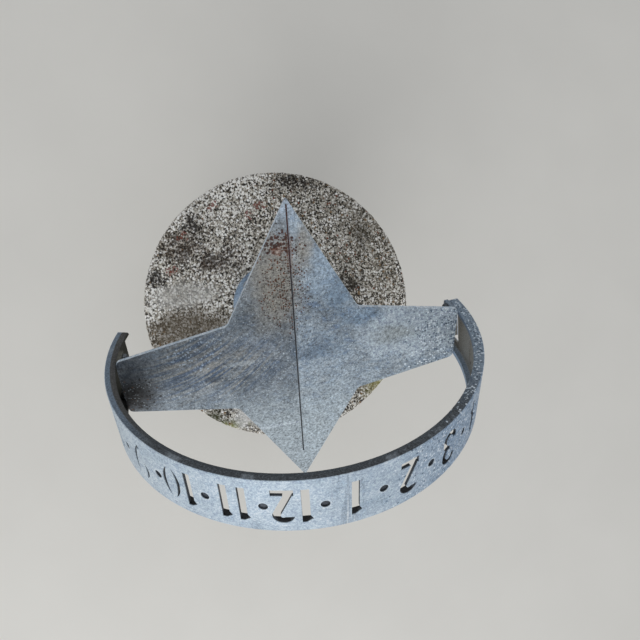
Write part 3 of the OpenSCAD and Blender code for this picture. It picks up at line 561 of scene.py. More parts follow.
# Galvanised casting and bar under shelter: bluish grey clouds, a soft sheen and a few runs of rust
foot_zinc, tree, shader, place = new_material("galvanised_foot_steel")
colour, cover, frosty = zinc_patina(place, "#7A90A8", "#B0C1D2", clouds=20 * MM)
runs = add(tree, "TexNoise", {"Vector": place, "Scale": 1 / (9 * MM), "Detail": 6.0, "Roughness": 0.7})
rusty = add(tree, "MapRange", {0: runs, 1: 0.63, 2: 0.72})
colour = stained(tree, colour, [("#6B4A36", 0.6, rusty)])
finish_zinc(shader, colour, cover, frosty)


def merged_mesh(node, crease_deg=28):
    """A copy of a CAD node's mesh with its loose triangles merged, smooth round its turned faces and sharp
    at its edges."""
    mesh = frame["nodes"][node].data.copy()
    work = bmesh.new()
    work.from_mesh(mesh)
    bmesh.ops.remove_doubles(work, verts=work.verts, dist=1e-6)
    bmesh.ops.dissolve_degenerate(work, dist=1e-7, edges=work.edges)
    for face in work.faces:
        face.smooth = True
    for edge in work.edges:
        edge.smooth = len(edge.link_faces) == 2 and edge.calc_face_angle() < math.radians(crease_deg)
    work.to_mesh(mesh)
    work.free()
    return mesh


def eased_copy(node, name, materials, bevel, crease_deg=28):
    """A merged copy of a CAD node whose sharp edges are eased by a small bevel; a second material goes on the
    eased edges."""
    mesh = merged_mesh(node, crease_deg)
    mesh.name = name
    mesh.materials.clear()
    for material in materials:
        mesh.materials.append(material)
    piece = place_piece(name, mesh, frame["nodes"][node]["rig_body"], node)
    if bevel:
        ease = piece.modifiers.new("eased_edges", "BEVEL")
        ease.width = bevel
        ease.segments = 2
        ease.limit_method = "ANGLE"
        ease.angle_limit = math.radians(crease_deg)
        ease.harden_normals = True
        ease.material = len(materials) - 1


eased_copy("foot_flange", "turned_foot_flange", [foot_zinc], 0.5 * MM)
eased_copy("stem", "turned_stem", [foot_zinc], 0.4 * MM)

# Bronze: warm brown with a green bloom where rain creeps in
bronze, tree, shader, place = new_material("oiled_bronze")
bloom = add(tree, "TexNoise", {"Vector": place, "Scale": 1 / (5 * MM), "Detail": 6.0, "Roughness": 0.7})
green = add(tree, "MapRange", {0: bloom, 1: 0.5, 2: 0.68})
brown = colour_ramp(bloom, [(0.3, "#6A4A26"), (0.7, "#A2783F")])
plug(shader, {"Base Color": stained(tree, brown, [("#5E8272", 0.75, green)]), "Roughness": 0.45,
              "Metallic": add(tree, "MapRange", {0: green, 3: 0.9, 4: 0.1})})
dress("thrust_washer", bronze)

black_steel = rusted_steel("blacked_screw_steel", "#33312F", ("#4A3024", "#6E4530"), 0.3, 3 * MM)
dress("set_screws", black_steel)
dress("cross_pin", black_steel)


# Fasteners: zinc-plated nuts, washers, studs and bolts, rolled threads and chamfered hexagons. The plating
# has gone chalky, with white bloom in the corners and a little rust at the threads.

def zinc_plating(name, dark, pale, bloomed, rust):
    """Electroplated zinc: small bright clouds, chalky bloom where it has begun to go, and rust where it has
    gone."""
    material, tree, shader, place = new_material(name)
    colour, cover, frosty = zinc_patina(place, dark, pale, clouds=7 * MM, frost=1.6 * MM)
    bloom = add(tree, "TexNoise", {"Vector": place, "Scale": 1 / (3.5 * MM), "Detail": 7.0, "Roughness": 0.7})
    colour = stained(tree, colour, [(bloomed, 0.6, (bloom, 0.55, 0.7)), (rust, 0.8, (bloom, 0.4, 0.3))])
    finish_zinc(shader, colour, cover, frosty, metallic=0.7, smooth=0.34, dull=0.6, relief=0.05 * MM)
    return material


fastener_zinc = zinc_plating("chalky_zinc_plating", "#7E868C", "#B4BCC2", "#D9DCDB", "#7A4A2C")
sooty_plating = zinc_plating("sooty_zinc_plating", "#44464A", "#6F767D", "#8B8F90", "#4E3325")

NUT_CHAMFER_DEG = 30
CHAMFER_START = 0.95
THREAD_DEPTH = 0.61
POINT_SHARE = 0.75
ROWS_A_PITCH = 6
HEXAGON_AROUND = 72
ROD_AROUND = 24
PITCHES = {4: 0.7, 5: 0.8, 6: 1.0, 8: 1.25, 12: 1.75}


def across_flats(d):
    """The width of a metric nut of this thread: one and a half diameters and 1 mm."""
    return (1.5 * d / MM + 1) * MM


def hexagon(d, height, rows=7):
    """Radii of a chamfered hexagon from its lower face to its upper one: the flats' own distance divided by
    the cosine of the angle from the nearest flat's middle, but never past the cone of the chamfer."""
    angle = np.linspace(0, 2 * math.pi, HEXAGON_AROUND, endpoint=False)
    flat = across_flats(d) / 2
    flats = flat / np.cos((angle + math.pi / 6) % (math.pi / 3) - math.pi / 6)
    z = np.concatenate([[0], np.linspace(0, height, rows), [height]])
    cone = flat * CHAMFER_START + np.minimum(z, height - z) / math.tan(math.radians(NUT_CHAMFER_DEG))
    radius = np.minimum(flats[None], cone[:, None])
    radius[0] = radius[-1] = 0.5 * flat
    return radius, z


def threaded(d, length, plain):
    """Radii of a rod that is plain for a while and threaded above: the radius drops by the thread's depth
    times a triangle wave of height over pitch less the angle in turns, and a cone ends it."""
    pitch = PITCHES[round(d / MM)] * MM
    rows = max(int((length - plain) / pitch * ROWS_A_PITCH), 2)
    z = np.concatenate([[0, plain], np.linspace(plain, length, rows)[1:]])
    turn = np.linspace(0, 1, ROD_AROUND, endpoint=False)
    wave = np.abs(((z[:, None] / pitch - turn[None]) % 1) * 2 - 1)
    depth = THREAD_DEPTH * pitch * wave * (z[:, None] > plain)
    cone = d / 2 * POINT_SHARE + length - z[:, None]
    return np.minimum(d / 2 - depth, np.maximum(cone, 0.3 * d)), z


def raised(height):
    """The matrix of a move along z."""
    return Matrix.Translation((0, 0, height))


def make_fasteners(name, shapes, plating, body, node, crease_deg=25):
    """A piece from several shapes, each of them turned and moved by its own matrix."""
    points, groups, first = [], [], 0
    for (own_points, own_faces), matrix in shapes:
        m = np.array(matrix)
        points.append(own_points @ m[:3, :3].T + m[:3, 3])
        groups += [g + first for g in own_faces]
        first += len(own_points)
    make_piece(name, np.concatenate(points), groups, plating, body, node, crease_deg)


def four_round(circle):
    """Matrices of four places on a circle, between the x and y axes."""
    out = Matrix.Translation((circle / 2, 0, 0))
    return [Matrix.Rotation((i + 0.5) * math.pi / 2, 4, "Z") @ out for i in range(4)]


def nut(d, height):
    """A chamfered hexagon with a bore: the hexagon's rows, closed over the bore's own two rows."""
    radius, z = hexagon(d, height)
    radius[0] = radius[-1] = d / 2
    angle = np.linspace(0, 2 * math.pi, radius.shape[1], endpoint=False)
    height_at = np.repeat(z[:, None], len(angle), 1)
    points = np.stack([radius * np.cos(angle), radius * np.sin(angle), height_at], -1)
    return points.reshape(-1, 3), [grid_faces(len(z), len(angle), closed=True)]


joints = frame["record"]["behaviour"]["joints"]
pivot = Vector(next(joint["pos_m"] for joint in joints if joint["name"] == "latitude_tilt"))
LATITUDE = math.radians(34)
FOOT = Matrix.Translation((pivot.x, 0, cap_high[2]))
DIAL = Matrix.Translation(pivot) @ Matrix.Rotation(LATITUDE, 4, "X")
ALONG_PIVOT = Matrix.Translation(pivot) @ Matrix.Rotation(math.pi / 2, 4, "Y")

ANCHOR_D = 8 * MM
ANCHOR_CIRCLE = 64 * MM
ANCHOR_NUT_H = 0.8 * ANCHOR_D
studs_low, studs_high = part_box("anchor_studs")
nuts_low, nuts_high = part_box("anchor_nuts")
stud_z, nut_z = studs_low[2] - cap_high[2], nuts_low[2] - cap_high[2]
anchor = turned(*threaded(ANCHOR_D, studs_high[2] - studs_low[2], nut_z - stud_z - ANCHOR_NUT_H), ROD_AROUND)
anchor_nut = nut(ANCHOR_D, ANCHOR_NUT_H)
anchor_places = [FOOT @ m for m in four_round(ANCHOR_CIRCLE)]
make_fasteners("threaded_anchor_studs", [(anchor, m @ raised(stud_z)) for m in anchor_places], fastener_zinc,
               "root", "anchor_studs", crease_deg=40)
make_fasteners("hexagon_anchor_nuts", [(anchor_nut, m @ raised(nut_z)) for m in anchor_places], fastener_zinc,
               "root", "anchor_nuts")
eased_copy("anchor_washers", "punched_anchor_washers", [fastener_zinc], 0.2 * MM)


# Tilt knuckle: a forged fork pinned on the stem, fibre discs that hold the tilt by friction, one through
# bolt, and the strut with the pad that carries the plate.

eased_copy("fork", "forged_fork", [foot_zinc], 0.8 * MM)
eased_copy("tilt_strut", "turned_tilt_strut", [foot_zinc], 0.6 * MM)

# Friction lining: brown resin with short brass-flecked fibres, quite matt. Its weave is drawn coarser than
# the real one, so that it shows; a diagonal wave of scale 1 repeats every 0.36276 of a unit
WEAVE = 3.6566 * MM
WAVE_REPEAT = 0.36276
fibre, tree, shader, place = new_material("woven_friction_lining")
weave = add(tree, "TexWave", {"Vector": place, "Scale": WAVE_REPEAT / WEAVE, "Distortion": 3.0,
                              "Detail": 2.0}, bands_direction="DIAGONAL")
woven = colour_ramp(weave.outputs["Fac"], [(0.2, "#3C2C20"), (0.8, "#6E523A")])
colour = stained(tree, woven, [("#A98B52", 0.8, specks(place, 1.2 * MM, 0.14))])
fuzz = add(tree, "Bump", {"Height": weave.outputs["Fac"], "Strength": 0.4, "Distance": 0.2 * MM})
plug(shader, {"Base Color": colour, "Normal": fuzz, "Roughness": 0.88})
dress("friction_discs", fibre)

PIVOT_D = 12 * MM
PIVOT_HEAD_H = 0.65 * PIVOT_D
PIVOT_NUT_H = 0.8 * PIVOT_D
PIVOT_THREAD = 18 * MM
bolt_low, bolt_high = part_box("pivot_bolt")
nut_low, nut_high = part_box("pivot_nut")
head_x = bolt_low[0] - pivot.x
bolt_shank = bolt_high[0] - bolt_low[0] - PIVOT_HEAD_H
bolt_head = turned(*hexagon(PIVOT_D, PIVOT_HEAD_H), HEXAGON_AROUND)
bolt_rod = turned(*threaded(PIVOT_D, bolt_shank, bolt_shank - PIVOT_THREAD), ROD_AROUND)
make_fasteners("hexagon_pivot_bolt", [(bolt_head, ALONG_PIVOT @ raised(head_x)),
                                      (bolt_rod, ALONG_PIVOT @ raised(head_x + PIVOT_HEAD_H))],
               fastener_zinc, "swivel", "pivot_bolt")
nut_place = ALONG_PIVOT @ raised(nut_low[0] - pivot.x)
make_fasteners("hexagon_pivot_nut", [(nut(PIVOT_D, PIVOT_NUT_H), nut_place)], fastener_zinc, "swivel",
               "pivot_nut")
eased_copy("pivot_washers", "punched_pivot_washers", [fastener_zinc], 0.3 * MM)


# Star plate: 3 mm sheet steel cut to a four-pointed outline and hot-dip galvanised, with a scribed meridian
# groove and weld studs beneath. Weathered to a dull blue-grey, rust-freckled on its upper point.

STRUT = 95 * MM
PLATE_T = 3 * MM


def dial_coordinates(place):
    """Object coordinates turned into the dial's own: x along the arms, y up the plate, z out of its face,
    from the middle of the plate."""
    middle = DIAL @ Vector((0, 0, STRUT))
    shifted = add(place.id_data, "Mapping", {"Vector": place, "Location": -middle})
    return add(place.id_data, "Mapping", {"Vector": shifted, "Rotation": (-LATITUDE, 0, 0)})


def drawn_out(at, size, turn=0.0):
    """Coordinates in which a pattern of scale 1 comes out as long along x and y as the size says."""
    scale = (1 / size[0], 1 / size[1], 1.0)
    return add(at.id_data, "Mapping", {"Vector": at, "Scale": scale, "Rotation": (0, 0, turn)})


def blotches(at, rows):
    """Layers for stained: oval patches that go right through the plate. Each row is (colour, amount, middle,
    reach), with lengths in millimetres, and then how ragged and how sharp the patch's edge is, where it isn't
    the usual."""
    return [(shade, amount, patch(at, (*middle, 0), (*reach, 60), *edge))
            for shade, amount, middle, reach, *edge in rows]


# Hot-dip zinc after many winters: dull clouds of grey and blue under a fine frost, smeared with dirt, with no
# more than a faint sheen
CLOUDS = 26 * MM
SMEAR = (13 * MM, 5.5 * MM)
SMEAR_TURN = 0.5

plate_zinc, tree, shader, place = new_material("weathered_galvanised_plate")
at = dial_coordinates(place)
axes = add(tree, "SeparateXYZ", {0: at})
x, y, z = (axes.outputs[k] for k in "XYZ")
beside = add(tree, "Math", {0: x}, operation="ABSOLUTE")
colour, cover, frosty = zinc_patina(at, "#636D76", "#858F98")
sheltered = stained(tree, colour, [("#93A3B3", 0.6, cover)])
broad = add(tree, "TexNoise", {"Vector": at, "Scale": 1 / CLOUDS, "Detail": 6.0, "Roughness": 0.6})
smeared = drawn_out(at, SMEAR, SMEAR_TURN)
mottle = add(tree, "TexNoise", {"Vector": smeared, "Scale": 1.0, "Detail": 7.0, "Roughness": 0.72,
                                "Distortion": 0.8})
# The plate's right half is painted lighter and bluer, and its mottle weighs more there: painted light, a
# painted sheen on that half
lit_right_half = mask(tree, (x, 0.4 * MM, 2.4 * MM))
lit_right_share = add(tree, "MapRange", {0: lit_right_half, 3: 0.6, 4: 1.0})
colour = stained(tree, colour, [
    ("#A3B2BF", 0.75, lit_right_half, (broad, 0.28, 0.62)),
    ("#45678F", 0.5, lit_right_share, (mottle, 0.5, 0.34)),
    ("#C4CBCF", 0.4, lit_right_share, (mottle, 0.52, 0.66)),
    ("#DCE6EE", 0.4, specks(at, 1.6 * MM, 0.2)),
    ("#43566C", 0.36, specks(at, 1.8 * MM, 0.24)),
    ("#ADB8BE", 0.7, (y, -8 * MM, -80 * MM)),
])

# Broad tones: washed blue beside the groove and at its foot, grey and tan where dust has dried. The right arm
# is painted paler, as painted light, and the left arm greyer, as painted shade; the tan on the upper point's
# left half is partly dust and partly painted shade
colour = stained(tree, colour, blotches(at, [
    ("#9FB2C4", 0.6, (22, 84), (16, 26)),
    ("#6D88A2", 0.5, (36, 60), (22, 28), 0.9, 0.9),
    ("#C0CDD8", 0.6, (106, 12), (62, 38)),
    ("#5F6973", 0.4, (-92, 14), (50, 30)),
    ("#938D80", 0.68, (-14, 80), (34, 68), 0.5, 0.8),
    ("#3F5D80", 0.3, (-31, 20), (22, 14), 0.9, 0.9),
    ("#5C7A98", 0.3, (20, 6), (34, 24), 0.9, 0.9),
]))
dusty = patch(at, (-66, 12, 0), (60, 18, 60), 0.7, 0.8)
colour = stained(tree, colour, [("#8A877F", 0.45, dusty, (mottle, 0.45, 0.6))])
colour = stained(tree, colour, blotches(at, [
    ("#8F938D", 0.5, (88, 10), (30, 15), 0.6, 0.9),
    ("#6184A5", 0.4, (58, 34), (28, 13), 0.9, 0.9),
    ("#968D7C", 0.5, (12, 106), (11, 26), 0.7, 0.7),
]))
colour = stained(tree, colour, [("#A4B2C2", 0.75, (y, 128 * MM, 142 * MM))])

# Streaks where rain runs off: drawn out along parabolas that sweep from the left arm's end up the plate, with
# a few marks where drops have dried
SWEEP_FROM = -127 * MM
SWEEP = 5.1
STREAK = (60 * MM, 3.0 * MM)
from_end = add(tree, "Math", {0: x, 1: SWEEP_FROM}, operation="SUBTRACT")
squared = add(tree, "Math", {0: from_end, 1: from_end}, operation="MULTIPLY")
swept = add(tree, "Math", {0: squared, 1: -SWEEP, 2: y}, operation="MULTIPLY_ADD")
lie = add(tree, "CombineXYZ", {0: x, 1: swept})
streaky = drawn_out(lie, STREAK)
streaks = add(tree, "TexNoise", {"Vector": streaky, "Scale": 1.0, "Detail": 4.0, "Roughness": 0.62,
                                 "Distortion": 0.3})
left_arm = patch(at, (-74, 6, 0), (80, 46, 60), 0.4, 0.7)
colour = stained(tree, colour, [("#A09F99", 0.58, left_arm, (streaks, 0.5, 0.59)),
                                ("#38557A", 0.6, left_arm, (streaks, 0.49, 0.39))])
colour = stained(tree, colour, blotches(at, [
    ("#3F4A57", 0.7, (-73, -7), (9, 4), 0.7),
    ("#48525D", 0.6, (-44, -11), (7, 3), 0.7),
    ("#B9C2C8", 0.45, (-48, 5), (16, 3), 0.6),
    ("#C4CFD8", 0.5, (-22, -74), (26, 2.2), 0.6),
]))

# Flecks: the arms are spangled bright, most at the right arm's end, where the white specks are partly painted
# glints; at the left arm's end, under the ring, painted shade darkens the plate, with soot and rust where
# water stands
band = patch(at, (-86, 24, 0), (34, 24, 60), 0.6, 0.9)
spangle_and_glints = mask(tree, (x, 92 * MM, 136 * MM))
shade_and_soot = patch(at, (-141, -9, 0), (30, 25, 60), 0.4, 0.8)
colour = stained(tree, colour, [
    ("#AFC0D2", 0.6, specks(at, 2.0 * MM, 0.6, 0.5, band)),
    ("#E6F0F8", 0.9, specks(at, 2.0 * MM, 0.5, 0.5, spangle_and_glints)),
    ("#435970", 0.8, specks(at, 2.2 * MM, 0.4, 0.5, spangle_and_glints)),
    ("#454A50", 0.6, (x, -112 * MM, -136 * MM)),
    ("#2B2A29", 0.88, shade_and_soot),
    ("#1D1B1A", 0.9, specks(at, 2.2 * MM, 0.6, 0.55, shade_and_soot)),
    ("#5A4334", 0.7, specks(at, 2.4 * MM, 0.2, 0.42, shade_and_soot)),
    ("#9AA3AA", 0.7, specks(at, 1.5 * MM, 0.16, 0.42, shade_and_soot)),
])

# Rust freckles, thickest round a ring-shaped spot high on the plate and along the groove
RUST_RING = (-9.4, 105.5, 0)
freckled = patch(at, (-7, 80, 0), (25, 64, 60), 0.3, 0.7)
few = patch(at, (-6, 52, 0), (42, 60, 60), 0.3, 0.9)
thick = patch(at, (-9, 113, 0), (18, 12, 60), 0.6, 0.6)
beside_groove = patch(at, (3, 107, 0), (14, 4.5, 60), 0.5, 0.7)
colour = stained(tree, colour, [
    ("#562D14", 0.92, specks(at, 2.1 * MM, 0.6, 0.42, freckled)),
    ("#33210F", 0.9, specks(at, 1.7 * MM, 0.42, 0.42, freckled)),
    ("#363636", 0.75, specks(at, 2.0 * MM, 0.26, 0.4, few)),
    ("#3A1C12", 0.95, specks(at, 2.4 * MM, 0.9, 0.6, thick)),
    ("#6E3519", 0.75, patch(at, RUST_RING, (5.6, 4.8, 60), 0.9, 0.8)),
    ("#BDB3AA", 0.8, patch(at, RUST_RING, (2.8, 2.5, 60), 0.7, 0.8)),
    ("#3A1C12", 0.95, specks(at, 2.4 * MM, 0.85, 0.55, beside_groove)),
    ("#6B4630", 0.5, patch(at, (0, 104, 0), (3.6, 26, 60), 0.6, 0.9)),
    ("#4A423C", 0.7, specks(at, 1.6 * MM, 0.4, 0.42, (y, -116 * MM, -140 * MM))),
])

# The groove is painted near black, rust-brown at its top; the sheltered underside keeps its plain zinc; and
# the cut walls are painted pale, a painted highlight along the plate's edges
FACE = PLATE_T / 2
in_groove = mask(tree, (z, FACE - 0.15 * MM, FACE - 0.4 * MM), (z, 0.2 * MM, 0.4 * MM),
                 (beside, 1.3 * MM, 0.9 * MM))
lit_wall = mask(tree, (z, 0.05 * MM - FACE, 0.3 * MM - FACE), (z, FACE - 0.05 * MM, FACE - 0.3 * MM))
colour = stained(tree, colour, [
    ("#201B1A", 0.92, in_groove),
    ("#4A1E14", 0.8, in_groove, (y, 70 * MM, 105 * MM)),
    (sheltered, 0.92, (z, 0.2 * MM - FACE, 0.08 * MM - FACE)),
    ("#C6D2DD", 0.85, lit_wall, (beside, 1.6 * MM, 2.6 * MM)),
])
finish_zinc(shader, colour, cover, frosty, metallic=0.25, smooth=0.5, dull=0.68, contrast=0.7)

# Cut edges: pale zinc, partly worn bright and partly a painted highlight where they catch the light, chipped
# and a little rusty
highlit_edge_zinc, tree, shader, place = new_material("highlit_zinc_edge")
colour, cover, frosty = zinc_patina(place, "#9AAABA", "#D2DEE9", clouds=12 * MM)
chipped = add(tree, "TexNoise", {"Vector": place, "Scale": 1 / (6 * MM), "Detail": 6.0, "Roughness": 0.75})
colour = stained(tree, colour, [("#565B60", 0.75, (chipped, 0.52, 0.6)),
                                ("#6B4C38", 0.6, (chipped, 0.37, 0.32))])
finish_zinc(shader, colour, cover, frosty, metallic=0.3, smooth=0.38, dull=0.55)

eased_copy("star_plate", "pointed_star_plate", [plate_zinc, highlit_edge_zinc], 0.6 * MM)

PAD_T = 8 * MM
PAD_CIRCLE = 56 * MM
PAD_STUD_D = 6 * MM
CLEAT_T = 4 * MM
CLEAT_STUD_D = 5 * MM
CLEAT_STUD_X = 125 * MM
CLEAT_STUD_GAP = 24 * MM
WASHER_SHARE = 0.16
NUT_SHARE = 0.8
THREAD_PAST = 0.3
UPSIDE_DOWN = Matrix.Rotation(math.pi, 4, "X")
under_plate = STRUT - PLATE_T / 2


def stud_heights(d, held):
    """Heights in the dial's frame of a weld stud's tip and of its nut, which lies on a washer under what it
    holds."""
    seat = under_plate - held
    return seat - (WASHER_SHARE + NUT_SHARE + THREAD_PAST) * d, seat - (WASHER_SHARE + NUT_SHARE) * d


pad_places = four_round(PAD_CIRCLE)
cleat_places = [Matrix.Translation((side * CLEAT_STUD_X, up * CLEAT_STUD_GAP / 2, 0))
                for side in (-1, 1) for up in (-1, 1)]
studs = []
for d, held, places, node, plating in ((PAD_STUD_D, PAD_T, pad_places, "pad_nuts", fastener_zinc),
                                       (CLEAT_STUD_D, CLEAT_T, cleat_places, "cleat_nuts", sooty_plating)):
    tip, nut_at = stud_heights(d, held)
    rod = turned(*threaded(d, under_plate - tip, held), ROD_AROUND)
    studs += [(rod, DIAL @ m @ raised(under_plate) @ UPSIDE_DOWN) for m in places]
    nuts = [(nut(d, NUT_SHARE * d), DIAL @ m @ raised(nut_at)) for m in places]
    make_fasteners("hexagon_" + node, nuts, plating, "dial", node)
make_fasteners("threaded_plate_studs", studs, fastener_zinc, "dial", "plate_studs", crease_deg=40)
eased_copy("pad_washers", "punched_pad_washers", [fastener_zinc], 0.15 * MM)
eased_copy("cleat_washers", "punched_cleat_washers", [sooty_plating], 0.15 * MM)


# Hour ring: a rolled band with a thin web between two rims, its numerals cut through like a stencil and a
# shallow dimple at each half hour. The outer face has weathered to a pale sky blue; the rims are charcoal,
# partly weathered and partly painted shade.

RING_R = 155 * MM
RIM_FROM = 22.7 * MM
RIM_LINE = 150.7 * MM
NOON_TURN = math.radians(-11.5)
HOUR = math.radians(15)
DIMPLE_R = 3.25 * MM
LEDGE = (-20.4 * MM, -14.5 * MM)
SCRATCH = (30 * MM, 1.3 * MM)
RAIN_RUN = (2.6 * MM, 60 * MM)

# Hot-dip zinc rolled bright and weathered from outside: pale sky blue with drawn scratches on the outer face,
# soot where no rain reaches, with painted shade and painted light on the faces inside the band
ring_zinc, tree, shader, place = new_material("weathered_galvanised_ring")
at = dial_coordinates(place)
axes = add(tree, "SeparateXYZ", {0: at})
x, s, z = (axes.outputs[k] for k in "XYZ")

# The ring's own coordinates: its angle from the middle, positive towards the evening end, the length along
# it, the height up it and the distance from its axis
turn = add(tree, "Math", {0: x, 1: z}, operation="ARCTAN2")
bearing = add(tree, "Math", {0: turn}, operation="DEGREES")
flat = add(tree, "CombineXYZ", {0: x, 2: z})
radius = add(tree, "VectorMath", {0: flat}, operation="LENGTH").outputs["Value"]
arc = add(tree, "Math", {0: turn, 1: RING_R}, operation="MULTIPLY")
unrolled = add(tree, "CombineXYZ", {0: arc, 1: s, 2: radius})

mottle = add(tree, "TexNoise", {"Vector": unrolled, "Scale": 1 / (8 * MM), "Detail": 7.0, "Roughness": 0.72})
scratched, rained = (drawn_out(unrolled, size) for size in (SCRATCH, RAIN_RUN))
streaks = add(tree, "TexNoise", {"Vector": scratched, "Scale": 1.0, "Detail": 3.0})
washed = add(tree, "TexNoise", {"Vector": rained, "Scale": 1.0, "Detail": 3.0})

# The evening side is painted darker, a painted shade, and is more freckled; the morning side is greyer, also
# painted shade; rain has rinsed the middle
evening = mask(tree, (bearing, 6, 38))
rinsed = patch(unrolled, (5, 0, 155), (15, 40, 60), 0.4, 0.5)
colour, cover, frosty = zinc_patina(unrolled, "#A0B0BE", "#C0CEDA", clouds=22 * MM, frost=1.4 * MM)
colour = stained(tree, colour, [
    ("#879DB5", 0.9, evening),
    ("#AEBAC2", 0.6, (bearing, -30, -75)),
    ("#DCE6EF", 0.8, specks(unrolled, 2.0 * MM, 0.42, 0.48, evening)),
    ("#4E637C", 0.75, specks(unrolled, 2.3 * MM, 0.42, 0.48, evening)),
    ("#7C93AC", 0.4, (mottle, 0.48, 0.34)),
    ("#D5DEE4", 0.4, (mottle, 0.54, 0.68)),
    ("#D6E1EA", 0.25, (streaks, 0.55, 0.7)),
    ("#8195A8", 0.25, (streaks, 0.44, 0.3)),
    ("#8695A5", 0.6, rinsed, (washed, 0.4, 0.6)),
    ("#D9E0E4", 0.6, rinsed, (washed, 0.62, 0.72)),
])

# Half-hour dimples: a pale lip where zinc gathered, found from the distance to the nearest dimple's middle
since_noon = add(tree, "Math", {0: turn, 1: NOON_TURN}, operation="SUBTRACT")
in_hour = add(tree, "Math", {0: since_noon, 1: 0.0, 2: HOUR}, operation="WRAP")
off_half = add(tree, "Math", {0: in_hour, 1: HOUR / 2}, operation="SUBTRACT")
aside = add(tree, "Math", {0: off_half, 1: RING_R}, operation="MULTIPLY")
offset = add(tree, "CombineXYZ", {0: aside, 1: s})
from_dimple = add(tree, "VectorMath", {0: offset}, operation="LENGTH").outputs["Value"]
colour = stained(tree, colour, [("#D3DEE7", 0.5, (from_dimple, DIMPLE_R + 1.4 * MM, DIMPLE_R + 0.3 * MM))])

# The hollow behind the web: dark grey, partly soot and partly painted shade; olive at the morning end, partly
# algae and partly painted shade; at the evening end a paler tan, painted light, with a painted shadow below
# the upper rim and painted light pale blue on the lower rim; and a near black line on the lower rim's ledge,
# painted shade with dirt
evening_end = mask(tree, (bearing, 48, 76))
on_ledge = mask(tree, (s, LEDGE[0] - 0.2 * MM, LEDGE[0]), (s, LEDGE[1], LEDGE[1] - 0.6 * MM))
hollow = stained(tree, colour_ramp(cover, [(0.2, "#34383E"), (0.8, "#4B5159")]), [
    ("#3B3A2C", 0.85, (bearing, -50, -88)),
    ("#8B8880", 0.85, evening_end),
    ("#4D637D", 0.8, evening_end, (s, 8 * MM, 17 * MM)),
    ("#8FA6BE", 0.85, evening_end, (s, -19 * MM, -20.6 * MM)),
    ("#121316", 0.85, on_ledge, (bearing, 62, 48)),
])

# The upper rim: charcoal, partly painted shade, with scratches, paler on its outer strip, freckled and bright
# at the evening end
morning_end = mask(tree, (bearing, -48, -70))
charcoal = colour_ramp(frosty, [(0.3, "#2C3035"), (0.5, "#42474C"), (0.72, "#636B72")])
charcoal = stained(tree, charcoal, [
    ("#6F8092", 0.8, morning_end, (radius, RIM_LINE - 0.5 * MM, RIM_LINE + 0.5 * MM)),
    ("#4C4A47", 0.7, morning_end, (radius, RIM_LINE + 0.5 * MM, RIM_LINE - 0.5 * MM)),
    ("#8697A8", 0.8, (bearing, 36, 62)),
    ("#D2DEE9", 0.85, specks(unrolled, 2.0 * MM, 0.45, 0.5, (bearing, 20, 60))),
    ("#3B4A5C", 0.8, specks(unrolled, 2.1 * MM, 0.45, 0.5, (bearing, 20, 60))),
    ("#9BA5AE", 0.45, (streaks, 0.6, 0.66), (radius, 149 * MM, 152 * MM)),
])
inside = stained(tree, hollow, [(charcoal, 1.0, (s, RIM_FROM - 0.2 * MM, RIM_FROM + 0.2 * MM))])
colour = stained(tree, colour, [(inside, 1.0, (radius, RING_R - 0.35 * MM, RING_R - 0.75 * MM))])
finish_zinc(shader, colour, cover, frosty, metallic=0.25, smooth=0.46, dull=0.66, contrast=0.5)

eased_copy("hour_ring", "stencilled_hour_ring", [ring_zinc, highlit_edge_zinc], 0.25 * MM)


# Cleats: flat bar with two tabs, bolted under the arms and screwed to the ring, so that each end of the ring
# hangs on the plate. Countersunk socket screws come in from outside.

# Zinc under soot: dull olive grey at the morning end, partly painted shade, washed to a greyer blue at the
# evening end, partly painted light
cleat_zinc, tree, shader, place = new_material("shaded_sooty_galvanised_cleats")
colour, cover, frosty = zinc_patina(place, "#3B3A34", "#5A5A52", clouds=9 * MM)
across = add(tree, "SeparateXYZ", {0: place}).outputs["X"]
colour = stained(tree, colour, [("#7E8D9D", 0.85, (across, 0.0, 60 * MM))])
finish_zinc(shader, colour, cover, frosty, metallic=0.25)
eased_copy("morning_cleat", "bent_morning_cleat", [cleat_zinc], 0.5 * MM)
eased_copy("evening_cleat", "bent_evening_cleat", [cleat_zinc], 0.5 * MM)

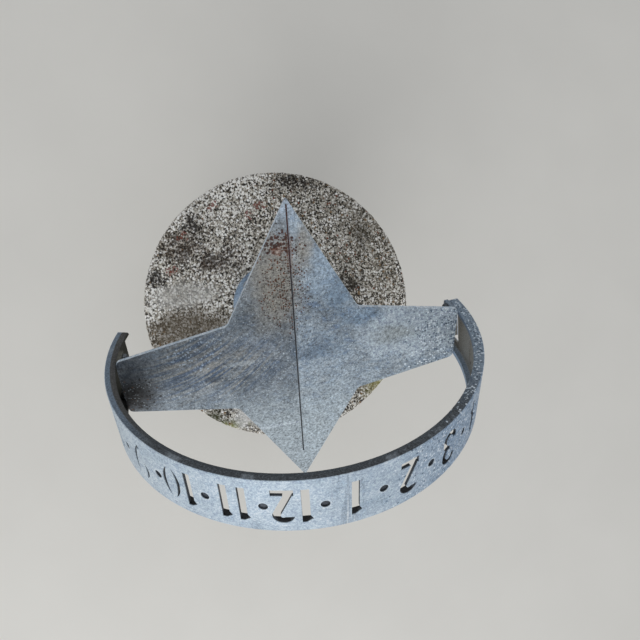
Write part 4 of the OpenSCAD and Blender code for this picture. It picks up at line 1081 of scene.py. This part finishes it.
SCREW_D = 4 * MM
SCREW_HEAD_R = 0.9 * SCREW_D
SCREW_HEAD_H = SCREW_HEAD_R - SCREW_D / 2
SCREW_LAND = 0.15 * MM
SCREW_SINK = 0.1 * MM
SCREW_PLAIN = 5 * MM
SOCKET_R = SCREW_D / 4
SOCKET_DEPTH = 1.0 * MM
SCREW_NUT_AT = 139.5 * MM
SCREW_ANGLE = math.radians(94.6)
SCREW_LINE = 20.2 * MM
RING_AXES = Matrix(((0, 1, 0, 0), (0, 0, 1, 0), (1, 0, 0, 0), (0, 0, 0, 1)))
RING = DIAL @ raised(STRUT) @ RING_AXES
OUTWARDS = Matrix.Rotation(math.pi / 2, 4, "Y")
screw_places = [RING @ Matrix.Rotation(side * SCREW_ANGLE, 4, "Z") @ raised(up * SCREW_LINE) @ OUTWARDS
                for side in (-1, 1) for up in (-1, 1)]
head_base = RING_R - SCREW_SINK - SCREW_HEAD_H
screw_tip = SCREW_NUT_AT - THREAD_PAST * SCREW_D

# The head's rows: a cone from the shank, a narrow land, the face, and a six-sided socket down from it
around = np.linspace(0, 2 * math.pi, ROD_AROUND, endpoint=False)
socket = SOCKET_R / np.cos((around + math.pi / 6) % (math.pi / 3) - math.pi / 6)
round_row = np.ones(ROD_AROUND)
head_radii = [SCREW_D / 2 * round_row, SCREW_HEAD_R * round_row, SCREW_HEAD_R * round_row, socket, socket]
head_heights = [0, SCREW_HEAD_H - SCREW_LAND, SCREW_HEAD_H, SCREW_HEAD_H, SCREW_HEAD_H - SOCKET_DEPTH]
head = turned(np.array(head_radii), np.array(head_heights), ROD_AROUND)
shank = turned(*threaded(SCREW_D, head_base - screw_tip, SCREW_PLAIN), ROD_AROUND)
head_places = [m @ raised(head_base) for m in screw_places]
screws = [(head, m) for m in head_places] + [(shank, m @ UPSIDE_DOWN) for m in head_places]
make_fasteners("socket_ring_screws", screws, sooty_plating, "dial", "ring_screws", crease_deg=30)
screw_nut = nut(SCREW_D, NUT_SHARE * SCREW_D)
make_fasteners("hexagon_ring_nuts", [(screw_nut, m @ raised(SCREW_NUT_AT)) for m in screw_places],
               sooty_plating, "dial", "ring_nuts")
